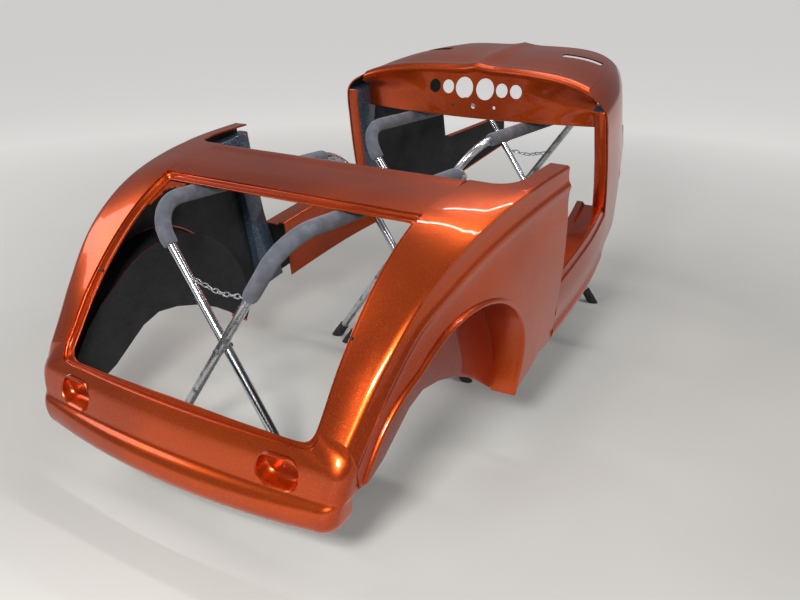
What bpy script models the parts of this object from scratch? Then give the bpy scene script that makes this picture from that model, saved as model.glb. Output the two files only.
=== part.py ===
"""Moulded roadster body shell resting on two folding X-stands.

Metres, +Z up, +Y towards the nose, +X to the body's right-hand side.
The body is modelled in its own frame, whose Y runs along the rocker line and whose Z is zero
at the rocker's lower edge. An empty tips that frame nose-up onto the stands.
"""
import math

import bmesh
import bpy
import numpy as np
from mathutils import Matrix, Vector

# Fit
GAP = 0.0003             # left between touching pieces
SEAM = GAP / 2           # taken off each side of a panel seam
BOND = 0.0008            # bonding paste under a lapped flange
SHELL = 0.006            # moulded skin
LINER = 0.004            # bonded flanges, gutter and well walls

# Body placing
PITCH = math.radians(10.0)   # nose-up on the stands
DATUM_Y = 0.1372             # floor position of the rocker line's zero
DATUM_Z = 0.380              # height of the rocker line's zero

# Body stations along the rocker line, tail to nose
TAIL_SEAM = -1.440
TRUNK_FRONT = -0.860
COCKPIT_REAR = -0.580
DOOR_REAR = -0.290
DOOR_FRONT = 0.350
COWL_FRONT = 0.940
APRON_FRONT = 1.360

# Trunk opening
TRUNK_HALF = 0.522
TRUNK_REAR = -1.473
TRUNK_CORNER = 0.030
TRUNK_BOW = 0.028
GUTTER_LAP = 0.018
GUTTER_DEPTH = 0.017
GUTTER_REACH = 0.026

# Cockpit opening
HORN_INNER = 0.668
HORN_CORNER = 0.090
RETURN_DEPTH = 0.022
EDGE_ROUND = 0.008

# Sill
SILL_TOP = 0.250
SILL_LIP = 0.012
SILL_DEPTH = 0.104
SILL_STEP = 0.070

# Door posts
POST_INSET = 0.0016       # behind the skin's inner face, clear of its curve
POST_SHOULDER = 0.590
POST_WIDTH = 0.058
POST_FRONT = 0.470
POST_LOW = 0.560
POST_KNEE = 0.610
POST_TOP = 0.650
POST_TUCK = 0.014

# Flank
FLANK_BULGE = 0.012
FLANK_EASE = 0.300            # the bulge grows over this length ahead of the tail

# Wheel arch
ARCH_CENTRE = (-0.950, 0.090)
ARCH_RADIUS = 0.395
ARCH_TIP = (-0.600, -0.060)
ARCH_ROLL = 0.010
ARCH_BAND = 0.030
# rolled lip from the skin's cut edge inward: across and drop, in rolls
ARCH_SECTION = ((-0.3, 0.0), (0.4, 0.15), (0.85, 0.5), (1.0, 1.0), (0.7, 1.5), (-0.6, 1.7))
WELL_INSET = 0.1072        # from the flank at the wheel's station in to the well wall
WELL_CENTRE = (-0.970, 0.090)
WELL_DROP = 0.022
WELL_LAP = 0.012

# Tail panel
TAIL_CORNER = 0.055
TAIL_COLUMNS = 7
EDGE_TURNS = (30, 60)         # degrees round the trunk opening's rear corner
HOOP_PICKS = (0, 2, 5, 6, 8)  # points of the quarter's last hoop that the tail meets
PAN_TOP = 0.180
PAN_END = -1.455
POCKET_CENTRE = (0.416, 0.238)
POCKET_SIZE = (0.150, 0.094)
POCKET_DEPTH = 0.030
POCKET_DRAFT = 0.004
POCKET_CUT = (-1.80, -1.455)
POCKET_HOLES = ((-0.030, 0.003), (0.0, 0.005), (0.030, 0.003))

# Cowl and dash
COWL_SEAM = 0.86          # seam between top and side, as a share of the half-width
COWL_ROW_COUNT = 9
CROWN_POWER = 5
CROWN_EASE = 0.45
COWL_BULGE = 0.014
RIDGE = 0.012
RIDGE_HALF = 0.100
LIP_CENTRE = 0.457
LIP_SWEEP = 0.078
LIP_ROLL = 0.010
LIP_DEPTH = 0.016
SLOT_INNER = 0.275
SLOT_OUTER = 0.455
SLOT_REAR = 0.705
SLOT_FRONT = 0.760
DASH_BOTTOM = 0.556
DASH_HALF = 0.560
DASH_CLEAR = 0.0010
DASH_CENTRE = 0.393           # station of the dash's foot at the middle
DASH_END = 0.436              # and at its ends
DASH_LEAN = 0.29              # forward per metre of rise, at the middle
DASH_FOOT = 0.022
DASH_RISES = (0.0, 0.008, POST_KNEE - DASH_BOTTOM, POST_TOP - DASH_BOTTOM, 0.160)
DASH_TUCK = 0.012             # kept clear under the cowl's lip
GAUGE_HEIGHT = 0.674
GAUGES = ((0.050, 0.043), (0.129, 0.028), (0.195, 0.028))
SWITCH_HEIGHT = 0.604
SWITCHES = ((-0.100, 0.007), (0.0, 0.011), (0.100, 0.007))

# Aprons
APRON_FOOT = 0.010            # height of the lower edge at the cowl
APRON_RISE = 0.070            # and its rise over the apron's length
APRON_TOP = 0.240
APRON_TURN = 0.030            # flange turned in at each edge

# Filler flange in the trunk opening's front left corner
FILLER_ALONG = 0.112
FILLER_ACROSS = 0.080
FILLER_BAND = 0.012
FILLER_DROP = 0.0215
FILLER_INSET = 0.0265
FILLER_THICK = 0.005
FILLER_HOLE = (0.050, 0.026)

# Plan and profile of the skin: station, height of the rail beside the trunk opening
DECK_PROFILE = (
    (-1.500, 0.268),
    (-1.455, 0.330),
    (-1.400, 0.388),
    (-1.306, 0.484),
    (-1.157, 0.598),
    (-1.012, 0.678),
    (-0.860, 0.727),
    (-0.720, 0.732),
    (-0.580, 0.724),
    (-0.420, 0.708),
    (-0.250, 0.686),
)
# station, half-width at the belt, belt height, half-width at the bead, bead height
SHOULDER = (
    (-1.500, 0.604, 0.240, 0.620, 0.185),
    (-1.455, 0.606, 0.310, 0.627, 0.262),
    (-1.375, 0.618, 0.392, 0.637, 0.348),
    (-1.300, 0.632, 0.468, 0.647, 0.420),
    (-1.157, 0.660, 0.588, 0.670, 0.532),
    (-1.012, 0.684, 0.660, 0.688, 0.575),
    (-0.860, 0.702, 0.700, 0.704, 0.606),
    (-0.670, 0.719, 0.714, 0.722, 0.625),
    (-0.480, 0.729, 0.706, 0.732, 0.625),
    (-0.250, 0.735, 0.684, 0.738, 0.614),
)
FLANK_AT_WHEEL = 0.6792       # half-width over the wheel, from the table below
# station, half-width just above the rocker, half-width at the rocker's lower edge
FLANK = (
    (-1.500, 0.620, 0.610),
    (-1.200, 0.655, 0.640),
    (-0.900, 0.683, 0.655),
    (-0.600, 0.690, 0.660),
    (-0.350, 0.690, 0.663),
    (-0.090, 0.680, 0.657),
    (0.136, 0.662, 0.640),
    (0.350, 0.628, 0.604),
    (0.490, 0.600, 0.572),
    (0.740, 0.546, 0.522),
    (0.940, 0.478, 0.455),
    (1.150, 0.412, 0.395),
    (1.360, 0.345, 0.335),
)
WELL_HALF = FLANK_AT_WHEEL - WELL_INSET
# station, half-width at the shoulder, shoulder height, centre height of the cowl
COWL = (
    (0.340, 0.628, 0.612, 0.762),
    (0.450, 0.614, 0.612, 0.770),
    (0.550, 0.598, 0.606, 0.772),
    (0.650, 0.574, 0.598, 0.772),
    (0.800, 0.524, 0.586, 0.762),
    (0.940, 0.470, 0.572, 0.744),
)
# station, height of the well wall's lower edge
WELL_EDGE = (
    (-1.440, 0.140),
    (-1.398, 0.129),
    (-1.336, 0.112),
    (-1.255, 0.134),
    (-1.157, 0.183),
    (-1.100, 0.211),
    (-1.020, 0.224),
    (-0.934, 0.200),
    (-0.835, 0.153),
    (-0.750, 0.095),
    (-0.690, 0.040),
    (-0.640, -0.010),
    (-0.605, -0.045),
)
# lower edge of the skin behind the arch, running down to the tail corner
ARCH_REAR = ((-1.252, 0.380), (-1.330, 0.322), (-1.392, 0.256), (-1.428, 0.206), (-1.452, 0.168))
# trimmed away below the wheel arch and behind it
ARCH_TRIM = ((-1.60, 0.10), (-1.60, -0.20), (-0.20, -0.20), (-0.34, -0.001), (-0.50, -0.030))
ARCH_TRIM_REACH = (0.40, 0.90)
ARCH_SWEEP_END = 122.0        # degrees round the wheel at which the arch runs out straight
ARCH_POINTS = 22
# quarter hoop: shares of the way from its inner edge out to the belt
DECK_SHARES = (0.0, 0.25, 0.5, 0.75, 0.92)
# then from belt to bead: share out, outset, share down, drop
BEAD_STEPS = (
    (0.0, 0.0, 0.0, 0.004),
    (0.4, -0.002, 0.35, 0.0),
    (1.0, -0.003, 0.75, 0.0),
    (1.0, 0.004, 1.0, 0.0),
    (1.0, -0.001, 1.0, 0.018),
)
# and shares of the way from there down to its foot
SIDE_SHARES = (0.2, 0.4, 0.6, 0.8, 1.0)
QUARTER_FOOT = -0.075         # foot of the side before the arch is cut
FOOT_RUN = 0.160              # level foot behind the door, over the sill's end
# sill section: the line it is measured from, across, height
SILL_SECTION = (
    ("low", 0.0, 0.0),
    ("low", 0.006, 0.030),
    ("low", 0.010, 0.046),
    ("low", 0.008, 0.062),
    ("high", 0.0, 0.150),
    ("high", -0.004, SILL_TOP - 0.030),
    ("high", -0.014, SILL_TOP - 0.004),
    ("high", -0.026, SILL_TOP),
    ("step", 0.0, SILL_TOP),
    ("step", -0.004, SILL_TOP + SILL_LIP),
    ("inner", 0.004, SILL_TOP + SILL_LIP),
    ("inner", 0.0, SILL_TOP + SILL_LIP - 0.006),
    ("inner", 0.0, 0.120),
    ("inner", 0.006, 0.010),
)
# rear post: height, station of its rear edge
REAR_POST = (
    (0.010, -0.420),
    (0.150, -0.400),
    (0.300, -0.380),
    (0.440, -0.380),
    (0.560, -0.400),
    (0.600, -0.420),
    (0.660, -0.450),
)
REAR_POST_DEPTH = 0.050       # from the flank in to the post's inner face
# front post: height at the door, station and height of its front edge
FRONT_POST = (
    (0.020, 0.500, 0.020),
    (SILL_TOP + SILL_LIP + GAP, 0.480, 0.200),
    (0.350, 0.450, 0.320),
    (0.450, 0.440, 0.450),
    (POST_LOW, POST_FRONT, POST_LOW),
    (POST_KNEE, POST_FRONT, POST_KNEE),
    (POST_TOP, POST_FRONT, POST_TOP),
)
# tail panel rows: height, setback of the middle, bow of the row, half-width
TAIL_ROWS = (
    (0.262, -1.528, 0.032, 0.626),
    (0.215, -1.548, 0.034, 0.621),
    (0.187, -1.558, 0.036, 0.616),
    (0.176, -1.578, 0.044, 0.610),
    (0.160, -1.592, 0.050, 0.606),
    (0.138, -1.600, 0.054, 0.602),
    (0.113, -1.601, 0.056, 0.597),
    (0.093, -1.592, 0.056, 0.589),
    (0.080, -1.572, 0.056, 0.578),
    (0.077, -1.548, 0.056, 0.572),
)

BAR_INSET = 0.216             # from the trunk opening's side in to the rear stand's bars
# Stands: name, centre x, centre y, yaw in degrees, half top spread, half foot spread
STANDS = (
    ("rear", -0.075, -0.544, -1.5, TRUNK_HALF - BAR_INSET, 0.325),
    ("front", -0.045, 0.581, -1.0, 0.281, 0.420),
)
# Foam sleeves: stand, frame, reach past the bar's rear end and fore end along the tube
PADS = (
    ("rear", "a", 0.225, 0.010),
    ("rear", "b", 0.340, 0.010),
    ("front", "a", 0.215, 0.010),
    ("front", "b", 0.010, 0.010),
)
STAND_LENGTH = 1.050
TUBE_R = 0.016
TUBE_SIDES = 12
PAD_R = 0.029
BAR_BEND = 0.130
BEND_POINTS = 7
FOOT_R = 0.022
FOOT_LENGTH = 0.045
FOOT_LEVEL = 0.024            # height of a leg's end over the floor
BOLT_R = 0.005
HEAD_R = 0.010
HEAD_THICK = 0.006
CHAIN_FRACTION = 0.75
CHAIN_R = 0.006
CHAIN_SAG = 0.012
SEAT_REACH = 0.050            # either way of a stand's contact with the body

ORANGE = (0.450, 0.082, 0.018, 1.0)
BLACK = (0.006, 0.006, 0.007, 1.0)
RESIN = (0.030, 0.045, 0.065, 1.0)
STEEL = (0.600, 0.600, 0.610, 1.0)
FOAM = (0.100, 0.105, 0.120, 1.0)
RUBBER = (0.012, 0.012, 0.012, 1.0)


def clear_scene():
    """Empty the scene, whatever it holds."""
    for obj in list(bpy.data.objects):
        bpy.data.objects.remove(obj, do_unlink=True)


def finish(name, colour, roughness, metallic):
    """One Principled material for one object."""
    material = bpy.data.materials.new(name)
    material.use_nodes = True
    shader = material.node_tree.nodes["Principled BSDF"]
    shader.inputs["Base Color"].default_value = colour
    shader.inputs["Roughness"].default_value = roughness
    shader.inputs["Metallic"].default_value = metallic
    return material


PAINT_LOOK = (ORANGE, 0.25, 0.3)
BLACK_LOOK = (BLACK, 0.7, 0.0)
RESIN_LOOK = (RESIN, 0.35, 0.0)
STEEL_LOOK = (STEEL, 0.2, 1.0)
FOAM_LOOK = (FOAM, 0.9, 0.0)
RUBBER_LOOK = (RUBBER, 0.8, 0.0)


def make(name, mesh_data, look, parent=None, smooth=35.0):
    """Turn a bmesh into one named, coloured object with outward faces."""
    bmesh.ops.recalc_face_normals(mesh_data, faces=mesh_data.faces)
    if mesh_data.calc_volume(signed=True) < 0:
        bmesh.ops.reverse_faces(mesh_data, faces=mesh_data.faces)
    mesh = bpy.data.meshes.new(name)
    mesh_data.to_mesh(mesh)
    mesh_data.free()
    mesh.shade_smooth()
    mesh.set_sharp_from_angle(angle=math.radians(smooth))
    mesh.materials.append(finish(name + "_finish", *look))
    obj = bpy.data.objects.new(name, mesh)
    bpy.context.scene.collection.objects.link(obj)
    obj.parent = parent
    return obj


def table(rows, station, column):
    """Smooth value of one column of a table at a station."""
    keys = [row[0] for row in rows]
    values = [row[column] for row in rows]
    place = min(max(station, keys[0]), keys[-1])
    right = next(i for i in range(1, len(keys)) if place <= keys[i])
    left = right - 1
    span = keys[right] - keys[left]
    slopes = []
    for i in (left, right):
        low = max(i - 1, 0)
        high = min(i + 1, len(keys) - 1)
        slopes.append((values[high] - values[low]) / (keys[high] - keys[low]))
    t = (place - keys[left]) / span
    return ((2 * t**3 - 3 * t**2 + 1) * values[left] + (t**3 - 2 * t**2 + t) * span * slopes[0]
            + (3 * t**2 - 2 * t**3) * values[right] + (t**3 - t**2) * span * slopes[1])


def spread(low, high, count):
    """Evenly spaced values, both ends included."""
    return [low + (high - low) * i / (count - 1) for i in range(count)]


def arc(centre, radius, start, stop, count):
    """Points on an arc, angles in degrees from the first axis."""
    points = []
    for angle in spread(math.radians(start), math.radians(stop), count):
        points.append((centre[0] + radius * math.cos(angle), centre[1] + radius * math.sin(angle)))
    return points


def grid_normals(rows):
    """Unit normals of a grid of points, from its neighbours along rows and columns."""
    points = np.array(rows, dtype=float)
    along = np.gradient(points, axis=0)
    across = np.gradient(points, axis=1)
    normals = np.cross(along, across)
    length = np.linalg.norm(normals, axis=2, keepdims=True)
    return normals / np.maximum(length, 1e-12)


def skin(rows, thickness, outward, flat_ends=None, flat_sides=None, flat_first=None, pinned=()):
    """Closed skin: the grid is its outer face, and the inner face lies a thickness behind it.

    outward is a rough direction that the outer face looks along, to settle the side. Where a
    neighbour meets the first and last row, or column, flat_ends or flat_sides is the axis across
    that seam, and the wall is built square to it. flat_first does so for the first column alone.
    pinned lists (row, column, normal) for points whose outward normal is given.
    """
    outer = np.array(rows, dtype=float)
    normals = grid_normals(rows)
    middle = normals[outer.shape[0] // 2, outer.shape[1] // 2]
    if np.dot(middle, np.array(outward)) < 0:
        normals = -normals
    if flat_ends is not None:
        normals[[0, -1], :, flat_ends] = 0
    if flat_sides is not None:
        normals[:, [0, -1], flat_sides] = 0
    if flat_first is not None:
        normals[:, 0, flat_first] = 0
    for i, j, normal in pinned:
        normals[i, j] = normal
    normals /= np.linalg.norm(normals, axis=2, keepdims=True)
    inner = outer - normals * thickness
    mesh_data = bmesh.new()
    layers = []
    for layer in (outer, inner):
        layers.append([[mesh_data.verts.new(point) for point in row] for row in layer])
    count_u, count_v = outer.shape[0], outer.shape[1]
    for i in range(count_u - 1):
        for j in range(count_v - 1):
            for layer in layers:
                mesh_data.faces.new((layer[i][j], layer[i + 1][j], layer[i + 1][j + 1], layer[i][j + 1]))
    rim = [(i, 0) for i in range(count_u)]
    rim += [(count_u - 1, j) for j in range(1, count_v)]
    rim += [(i, count_v - 1) for i in range(count_u - 2, -1, -1)]
    rim += [(0, j) for j in range(count_v - 2, 0, -1)]
    for a, b in zip(rim, rim[1:] + rim[:1]):
        mesh_data.faces.new((layers[0][a[0]][a[1]], layers[0][b[0]][b[1]],
                             layers[1][b[0]][b[1]], layers[1][a[0]][a[1]]))
    return mesh_data


def slab(outline, inner, outer):
    """Closed slab: an outline of (station, height), each point at an inner and an outer half-width."""
    mesh_data = bmesh.new()
    near = [mesh_data.verts.new((inner(y, z), y, z)) for y, z in outline]
    far = [mesh_data.verts.new((outer(y, z), y, z)) for y, z in outline]
    count = len(outline)
    caps = [mesh_data.faces.new(near), mesh_data.faces.new(far[::-1])]
    for i in range(count):
        j = (i + 1) % count
        mesh_data.faces.new((near[i], far[i], far[j], near[j]))
    bmesh.ops.triangulate(mesh_data, faces=caps)
    return mesh_data


def sweep(path, section, frames, closed):
    """Carry a closed section of (side, up) along a path, with a (side, up) pair at each point."""
    mesh_data = bmesh.new()
    rings = []
    for point, (side, up) in zip(path, frames):
        ring = []
        for s, h in section:
            ring.append(mesh_data.verts.new(Vector(point) + Vector(side) * s + Vector(up) * h))
        rings.append(ring)
    pairs = list(zip(rings, rings[1:]))
    if closed:
        pairs.append((rings[-1], rings[0]))
    count = len(section)
    for a, b in pairs:
        for i in range(count):
            j = (i + 1) % count
            mesh_data.faces.new((a[i], a[j], b[j], b[i]))
    if not closed:
        mesh_data.faces.new(rings[0][::-1])
        mesh_data.faces.new(rings[-1])
    return mesh_data


def mirrored(mesh_data):
    """The same shape on the other side of the body's middle plane."""
    twin = mesh_data.copy()
    bmesh.ops.transform(twin, matrix=Matrix.Scale(-1, 4, Vector((1, 0, 0))), verts=twin.verts)
    bmesh.ops.reverse_faces(twin, faces=twin.faces)
    return twin


def both_sides(name, mesh_data, look, parent):
    """Make the right-hand piece and its mirror image."""
    twin = mirrored(mesh_data)
    right = make(name + "_right", mesh_data, look, parent)
    left = make(name + "_left", twin, look, parent)
    return right, left


def cutter(name, mesh_data, parent):
    """A hidden solid that only cuts others."""
    obj = make(name, mesh_data, BLACK_LOOK, parent)
    obj.hide_render = True
    obj.display_type = "WIRE"
    return obj


def cut(obj, tool):
    """Take the tool's solid out of an object."""
    modifier = obj.modifiers.new(tool.name, "BOOLEAN")
    modifier.operation = "DIFFERENCE"
    modifier.solver = "EXACT"
    modifier.object = tool


def prism(outline, low, high, axis):
    """Straight prism: an outline in the plane across the axis, between two places along it."""
    mesh_data = bmesh.new()
    rings = []
    for place in (low, high):
        ring = []
        for a, b in outline:
            point = {"X": (place, a, b), "Y": (a, place, b), "Z": (a, b, place)}[axis]
            ring.append(mesh_data.verts.new(point))
        rings.append(ring)
    count = len(outline)
    mesh_data.faces.new(rings[0])
    mesh_data.faces.new(rings[1][::-1])
    for i in range(count):
        j = (i + 1) % count
        mesh_data.faces.new((rings[0][i], rings[1][i], rings[1][j], rings[0][j]))
    return mesh_data


def deck(x, y):
    """Height of the deck between the belts."""
    rail = table(DECK_PROFILE, y, 1)
    belt = table(SHOULDER, y, 2)
    half = table(SHOULDER, y, 1)
    reach = max(0.0, (abs(x) - TRUNK_HALF) / max(half - TRUNK_HALF, 0.001))
    return rail + (belt - rail) * min(reach, 1.2) ** 2


def flank(y, z):
    """Half-width of the side below the bead."""
    bead_half = table(SHOULDER, y, 3)
    bead_height = table(SHOULDER, y, 4)
    low_half = table(FLANK, y, 2)
    share = min(max(z / bead_height, -0.2), 1.0)
    ease = min(max((y - TAIL_SEAM) / FLANK_EASE, 0.0), 1.0)
    bulge = FLANK_BULGE * ease * math.sin(math.pi * min(max(share, 0.0), 1.0))
    return low_half + (bead_half - low_half) * share + bulge


def horn_edge(y):
    """Half-width of the cockpit opening's edge behind the doors."""
    rise = (y - COCKPIT_REAR) / HORN_CORNER
    if rise >= 1:
        return HORN_INNER
    return HORN_INNER - HORN_CORNER * (1 - math.sqrt(max(0.0, 1 - (1 - rise) ** 2)))


BRIDGE_STATIONS = spread(TRUNK_FRONT, COCKPIT_REAR - EDGE_ROUND, 5) + [COCKPIT_REAR]
QUARTER_STATIONS = (
    spread(TAIL_SEAM + SEAM, TRUNK_FRONT - 0.03, 14) + BRIDGE_STATIONS
    + [COCKPIT_REAR + HORN_CORNER * f for f in (0.03, 0.12, 0.3, 0.6, 1.0)]
    + [-0.40, -0.34, DOOR_REAR]
)


def quarter_row(y):
    """One hoop of the quarter skin, from its inner edge over the belt and down the side."""
    half = table(SHOULDER, y, 1)
    belt = table(SHOULDER, y, 2)
    bead_half = table(SHOULDER, y, 3)
    bead = table(SHOULDER, y, 4)
    if y < TRUNK_FRONT:
        start = TRUNK_HALF
    elif y <= COCKPIT_REAR:
        start = TRUNK_HALF + SEAM
    else:
        start = horn_edge(y)
    row = []
    for share in DECK_SHARES:
        x = start + (half - start) * share
        row.append((x, y, deck(x, y)))
    for out, outset, down, drop in BEAD_STEPS:
        row.append((half + (bead_half - half) * out + outset, y, belt + (bead - belt) * down - drop))
    top = row[-1][2]
    foot = QUARTER_FOOT if y < DOOR_REAR - FOOT_RUN else 0.0
    for share in SIDE_SHARES:
        z = top * (1 - share) + foot * share
        row.append((flank(y, z), y, z))
    return row


def arch_outline():
    """Edge of the skin round the wheel, from the front tip over the top to the tail."""
    centre = ARCH_CENTRE
    start = math.degrees(math.asin((ARCH_TIP[1] - centre[1]) / ARCH_RADIUS))
    return arc(centre, ARCH_RADIUS, start, ARCH_SWEEP_END, ARCH_POINTS) + list(ARCH_REAR)


def build_quarters(parent):
    """Rear quarter skins with their wheel arches."""
    rows = [quarter_row(y) for y in QUARTER_STATIONS]
    pair = both_sides("quarter", skin(rows, SHELL, (0.5, 0.0, 1.0), 1, None, 0), PAINT_LOOK, parent)
    outline = arch_outline() + list(ARCH_TRIM)
    for obj, side in zip(pair, (1, -1)):
        low, high = sorted(side * reach for reach in ARCH_TRIM_REACH)
        cut(obj, cutter("arch_cutter_" + obj.name, prism(outline, low, high, "X"), parent))


def build_arch_flanges(parent):
    """Rolled lip under each arch's edge and the band that runs in from it to the well wall."""
    rows = []
    for y, z in arch_outline()[:-1]:
        away = Vector((y - WELL_CENTRE[0], z - WELL_CENTRE[1])).normalized()
        lip = flank(y, z)
        section = [(lip + across * ARCH_ROLL, GAP + drop * ARCH_ROLL) for across, drop in ARCH_SECTION]
        section += [(WELL_HALF + ARCH_BAND, WELL_DROP - GAP), (WELL_HALF + GAP, WELL_DROP)]
        rows.append([(x, y - away.x * inset, z - away.y * inset) for x, inset in section])
    both_sides("arch_flange", skin(rows, LINER, (0.0, 0.0, -1.0), None, 0), PAINT_LOOK, parent)


def build_well_walls(parent):
    """Flat inner wall behind each wheel."""
    top = []
    for y, z in arch_outline():
        away = Vector((y - WELL_CENTRE[0], z - WELL_CENTRE[1])).normalized()
        inset = WELL_DROP - WELL_LAP
        if z > WELL_EDGE[-1][1]:
            top.append((y - away.x * inset, z - away.y * inset))
    outline = top + list(WELL_EDGE)
    mesh_data = slab(outline, lambda y, z: WELL_HALF - LINER, lambda y, z: WELL_HALF)
    both_sides("well_wall", mesh_data, PAINT_LOOK, parent)


def build_bridge(parent):
    """Deck panel between the trunk opening and the cockpit, with its turned-down front edge."""
    columns = spread(SEAM - TRUNK_HALF, TRUNK_HALF - SEAM, 13)
    rows = [[(x, y, deck(x, y)) for x in columns] for y in BRIDGE_STATIONS]
    rows[-1] = [(x, y, z - EDGE_ROUND * 0.6) for x, y, z in rows[-1]]
    rows.append([(x, COCKPIT_REAR, deck(x, COCKPIT_REAR) - RETURN_DEPTH) for x in columns])
    make("deck_bridge", skin(rows, SHELL, (0, 0, 1), None, 0), PAINT_LOOK, parent)


def tail_point(row, x):
    """Point of a tail row at a half-width, with the row's bow and its rounded end."""
    height, setback, bow, half = row
    limit = half - TAIL_CORNER
    reach = min(abs(x), limit) / half
    y = setback + bow * reach**2
    if abs(x) > limit:
        turn = (abs(x) - limit) / TAIL_CORNER
        y += TAIL_CORNER * (1 - math.sqrt(max(0.0, 1 - turn**2)))
    return (x, y, height)


def tail_row(row):
    """Right half of one tail row, from the middle round the corner to the quarter's edge."""
    height, _, _, half = row
    limit = half - TAIL_CORNER
    turns = spread(0, 90, len(EDGE_TURNS) + len(HOOP_PICKS))[1:]
    corner = [limit + TAIL_CORNER * math.sin(math.radians(a)) for a in turns]
    points = [tail_point(row, x) for x in spread(0, limit, TAIL_COLUMNS) + corner]
    end = TAIL_SEAM - SEAM if height > PAN_TOP else PAN_END
    return points + [(half + 0.001, end, height)]


def trunk_rear(x):
    """Station of the trunk opening's rear edge, bowed back at the middle."""
    return TRUNK_REAR - TRUNK_BOW * (1 - (x / TRUNK_HALF) ** 2)


def tail_top():
    """Right half of the tail's upper edge: the trunk opening, then the quarter's last hoop."""
    limit = TRUNK_HALF - TRUNK_CORNER
    points = []
    for x in spread(0, limit, TAIL_COLUMNS):
        points.append((x, trunk_rear(x), rail_height(TRUNK_REAR)))
    for turn in EDGE_TURNS:
        x = limit + TRUNK_CORNER * math.sin(math.radians(turn))
        y = trunk_rear(limit) + (TAIL_SEAM - trunk_rear(limit)) * (1 - math.cos(math.radians(turn)))
        points.append((x, y, rail_height(y)))
    hoop = quarter_row(TAIL_SEAM)
    return points + [(hoop[index][0], TAIL_SEAM - SEAM, hoop[index][2]) for index in HOOP_PICKS]


def hoop_normal(index):
    """Outward direction, square to the station, at one point of the quarter's last hoop."""
    hoop = quarter_row(TAIL_SEAM)
    low = hoop[max(index - 1, 0)]
    high = hoop[index + 1]
    normal = Vector((low[2] - high[2], 0, high[0] - low[0]))
    return normal.normalized()


def build_tail(parent):
    """Tail panel and roll pan, with the lamp pockets' openings."""
    rows = []
    for half_row in [tail_top()] + [tail_row(row) for row in TAIL_ROWS]:
        rows.append([(-x, y, z) for x, y, z in half_row[:0:-1]] + half_row)
    last = len(rows[0]) - 1
    pinned = []
    for place, index in enumerate(HOOP_PICKS[::-1]):
        normal = hoop_normal(index)
        pinned.append((0, last - place, normal))
        pinned.append((0, place, (-normal.x, 0, normal.z)))
    tail = make("tail_panel", skin(rows, SHELL, (0, -1, 0), None, 1, None, pinned), PAINT_LOOK, parent)
    for side, label in ((1, "right"), (-1, "left")):
        outline = pocket_outline(side, 0.0)
        cut(tail, cutter("pocket_cutter_" + label, prism(outline, *POCKET_CUT, "Y"), parent))


def pocket_outline(side, grow):
    """Oblong outline of a lamp pocket, seen from behind."""
    half_w = POCKET_SIZE[0] / 2 + grow
    half_h = POCKET_SIZE[1] / 2 + grow
    straight = half_w - half_h
    points = arc((straight, 0), half_h, -90, 90, 9) + arc((-straight, 0), half_h, 90, 270, 9)
    return [(side * POCKET_CENTRE[0] + x, POCKET_CENTRE[1] + z) for x, z in points]


def pocket_face(x, z, back):
    """Place on the tail's face at a height, moved forward into the body."""
    for low, high in zip(TAIL_ROWS[1:], TAIL_ROWS[:-1]):
        if low[0] <= z <= high[0]:
            share = (z - low[0]) / (high[0] - low[0])
            y = tail_point(low, x)[1] * (1 - share) + tail_point(high, x)[1] * share
            return y + back
    return tail_point(TAIL_ROWS[0], x)[1] + back


def pocket_floor(back):
    """Station of a lamp pocket's upright floor, measured from the tail's face at its middle."""
    return pocket_face(*POCKET_CENTRE, back)


def build_pockets(parent):
    """Moulded lamp pockets let into the tail panel, each with a flat upright floor for its lamp."""
    for side, label in ((1, "right"), (-1, "left")):
        mesh_data = bmesh.new()
        rings = []
        for grow, back in ((-GAP, 0.0), (-POCKET_DRAFT, POCKET_DEPTH + LINER),
                           (-POCKET_DRAFT - LINER, POCKET_DEPTH), (-GAP - LINER, 0.0)):
            ring = []
            for x, z in pocket_outline(side, grow):
                y = pocket_floor(back) if back else pocket_face(x, z, back)
                ring.append(mesh_data.verts.new((x, y, z)))
            rings.append(ring)
        count = len(rings[0])
        for a, b in ((0, 1), (2, 3), (3, 0)):
            for i in range(count):
                j = (i + 1) % count
                mesh_data.faces.new((rings[a][i], rings[a][j], rings[b][j], rings[b][i]))
        floors = [mesh_data.faces.new(rings[1]), mesh_data.faces.new(rings[2])]
        bmesh.ops.triangulate(mesh_data, faces=floors)
        pocket = make("lamp_pocket_" + label, mesh_data, PAINT_LOOK, parent)
        x0, z0 = side * POCKET_CENTRE[0], POCKET_CENTRE[1]
        for index, (offset, radius) in enumerate(POCKET_HOLES):
            outline = [(x0 + a, z0 + offset + b) for a, b in arc((0, 0), radius, 0, 315, 8)]
            tool = prism(outline, *POCKET_CUT, "Y")
            cut(pocket, cutter(f"pocket_hole_{label}_{index}", tool, parent))


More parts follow.
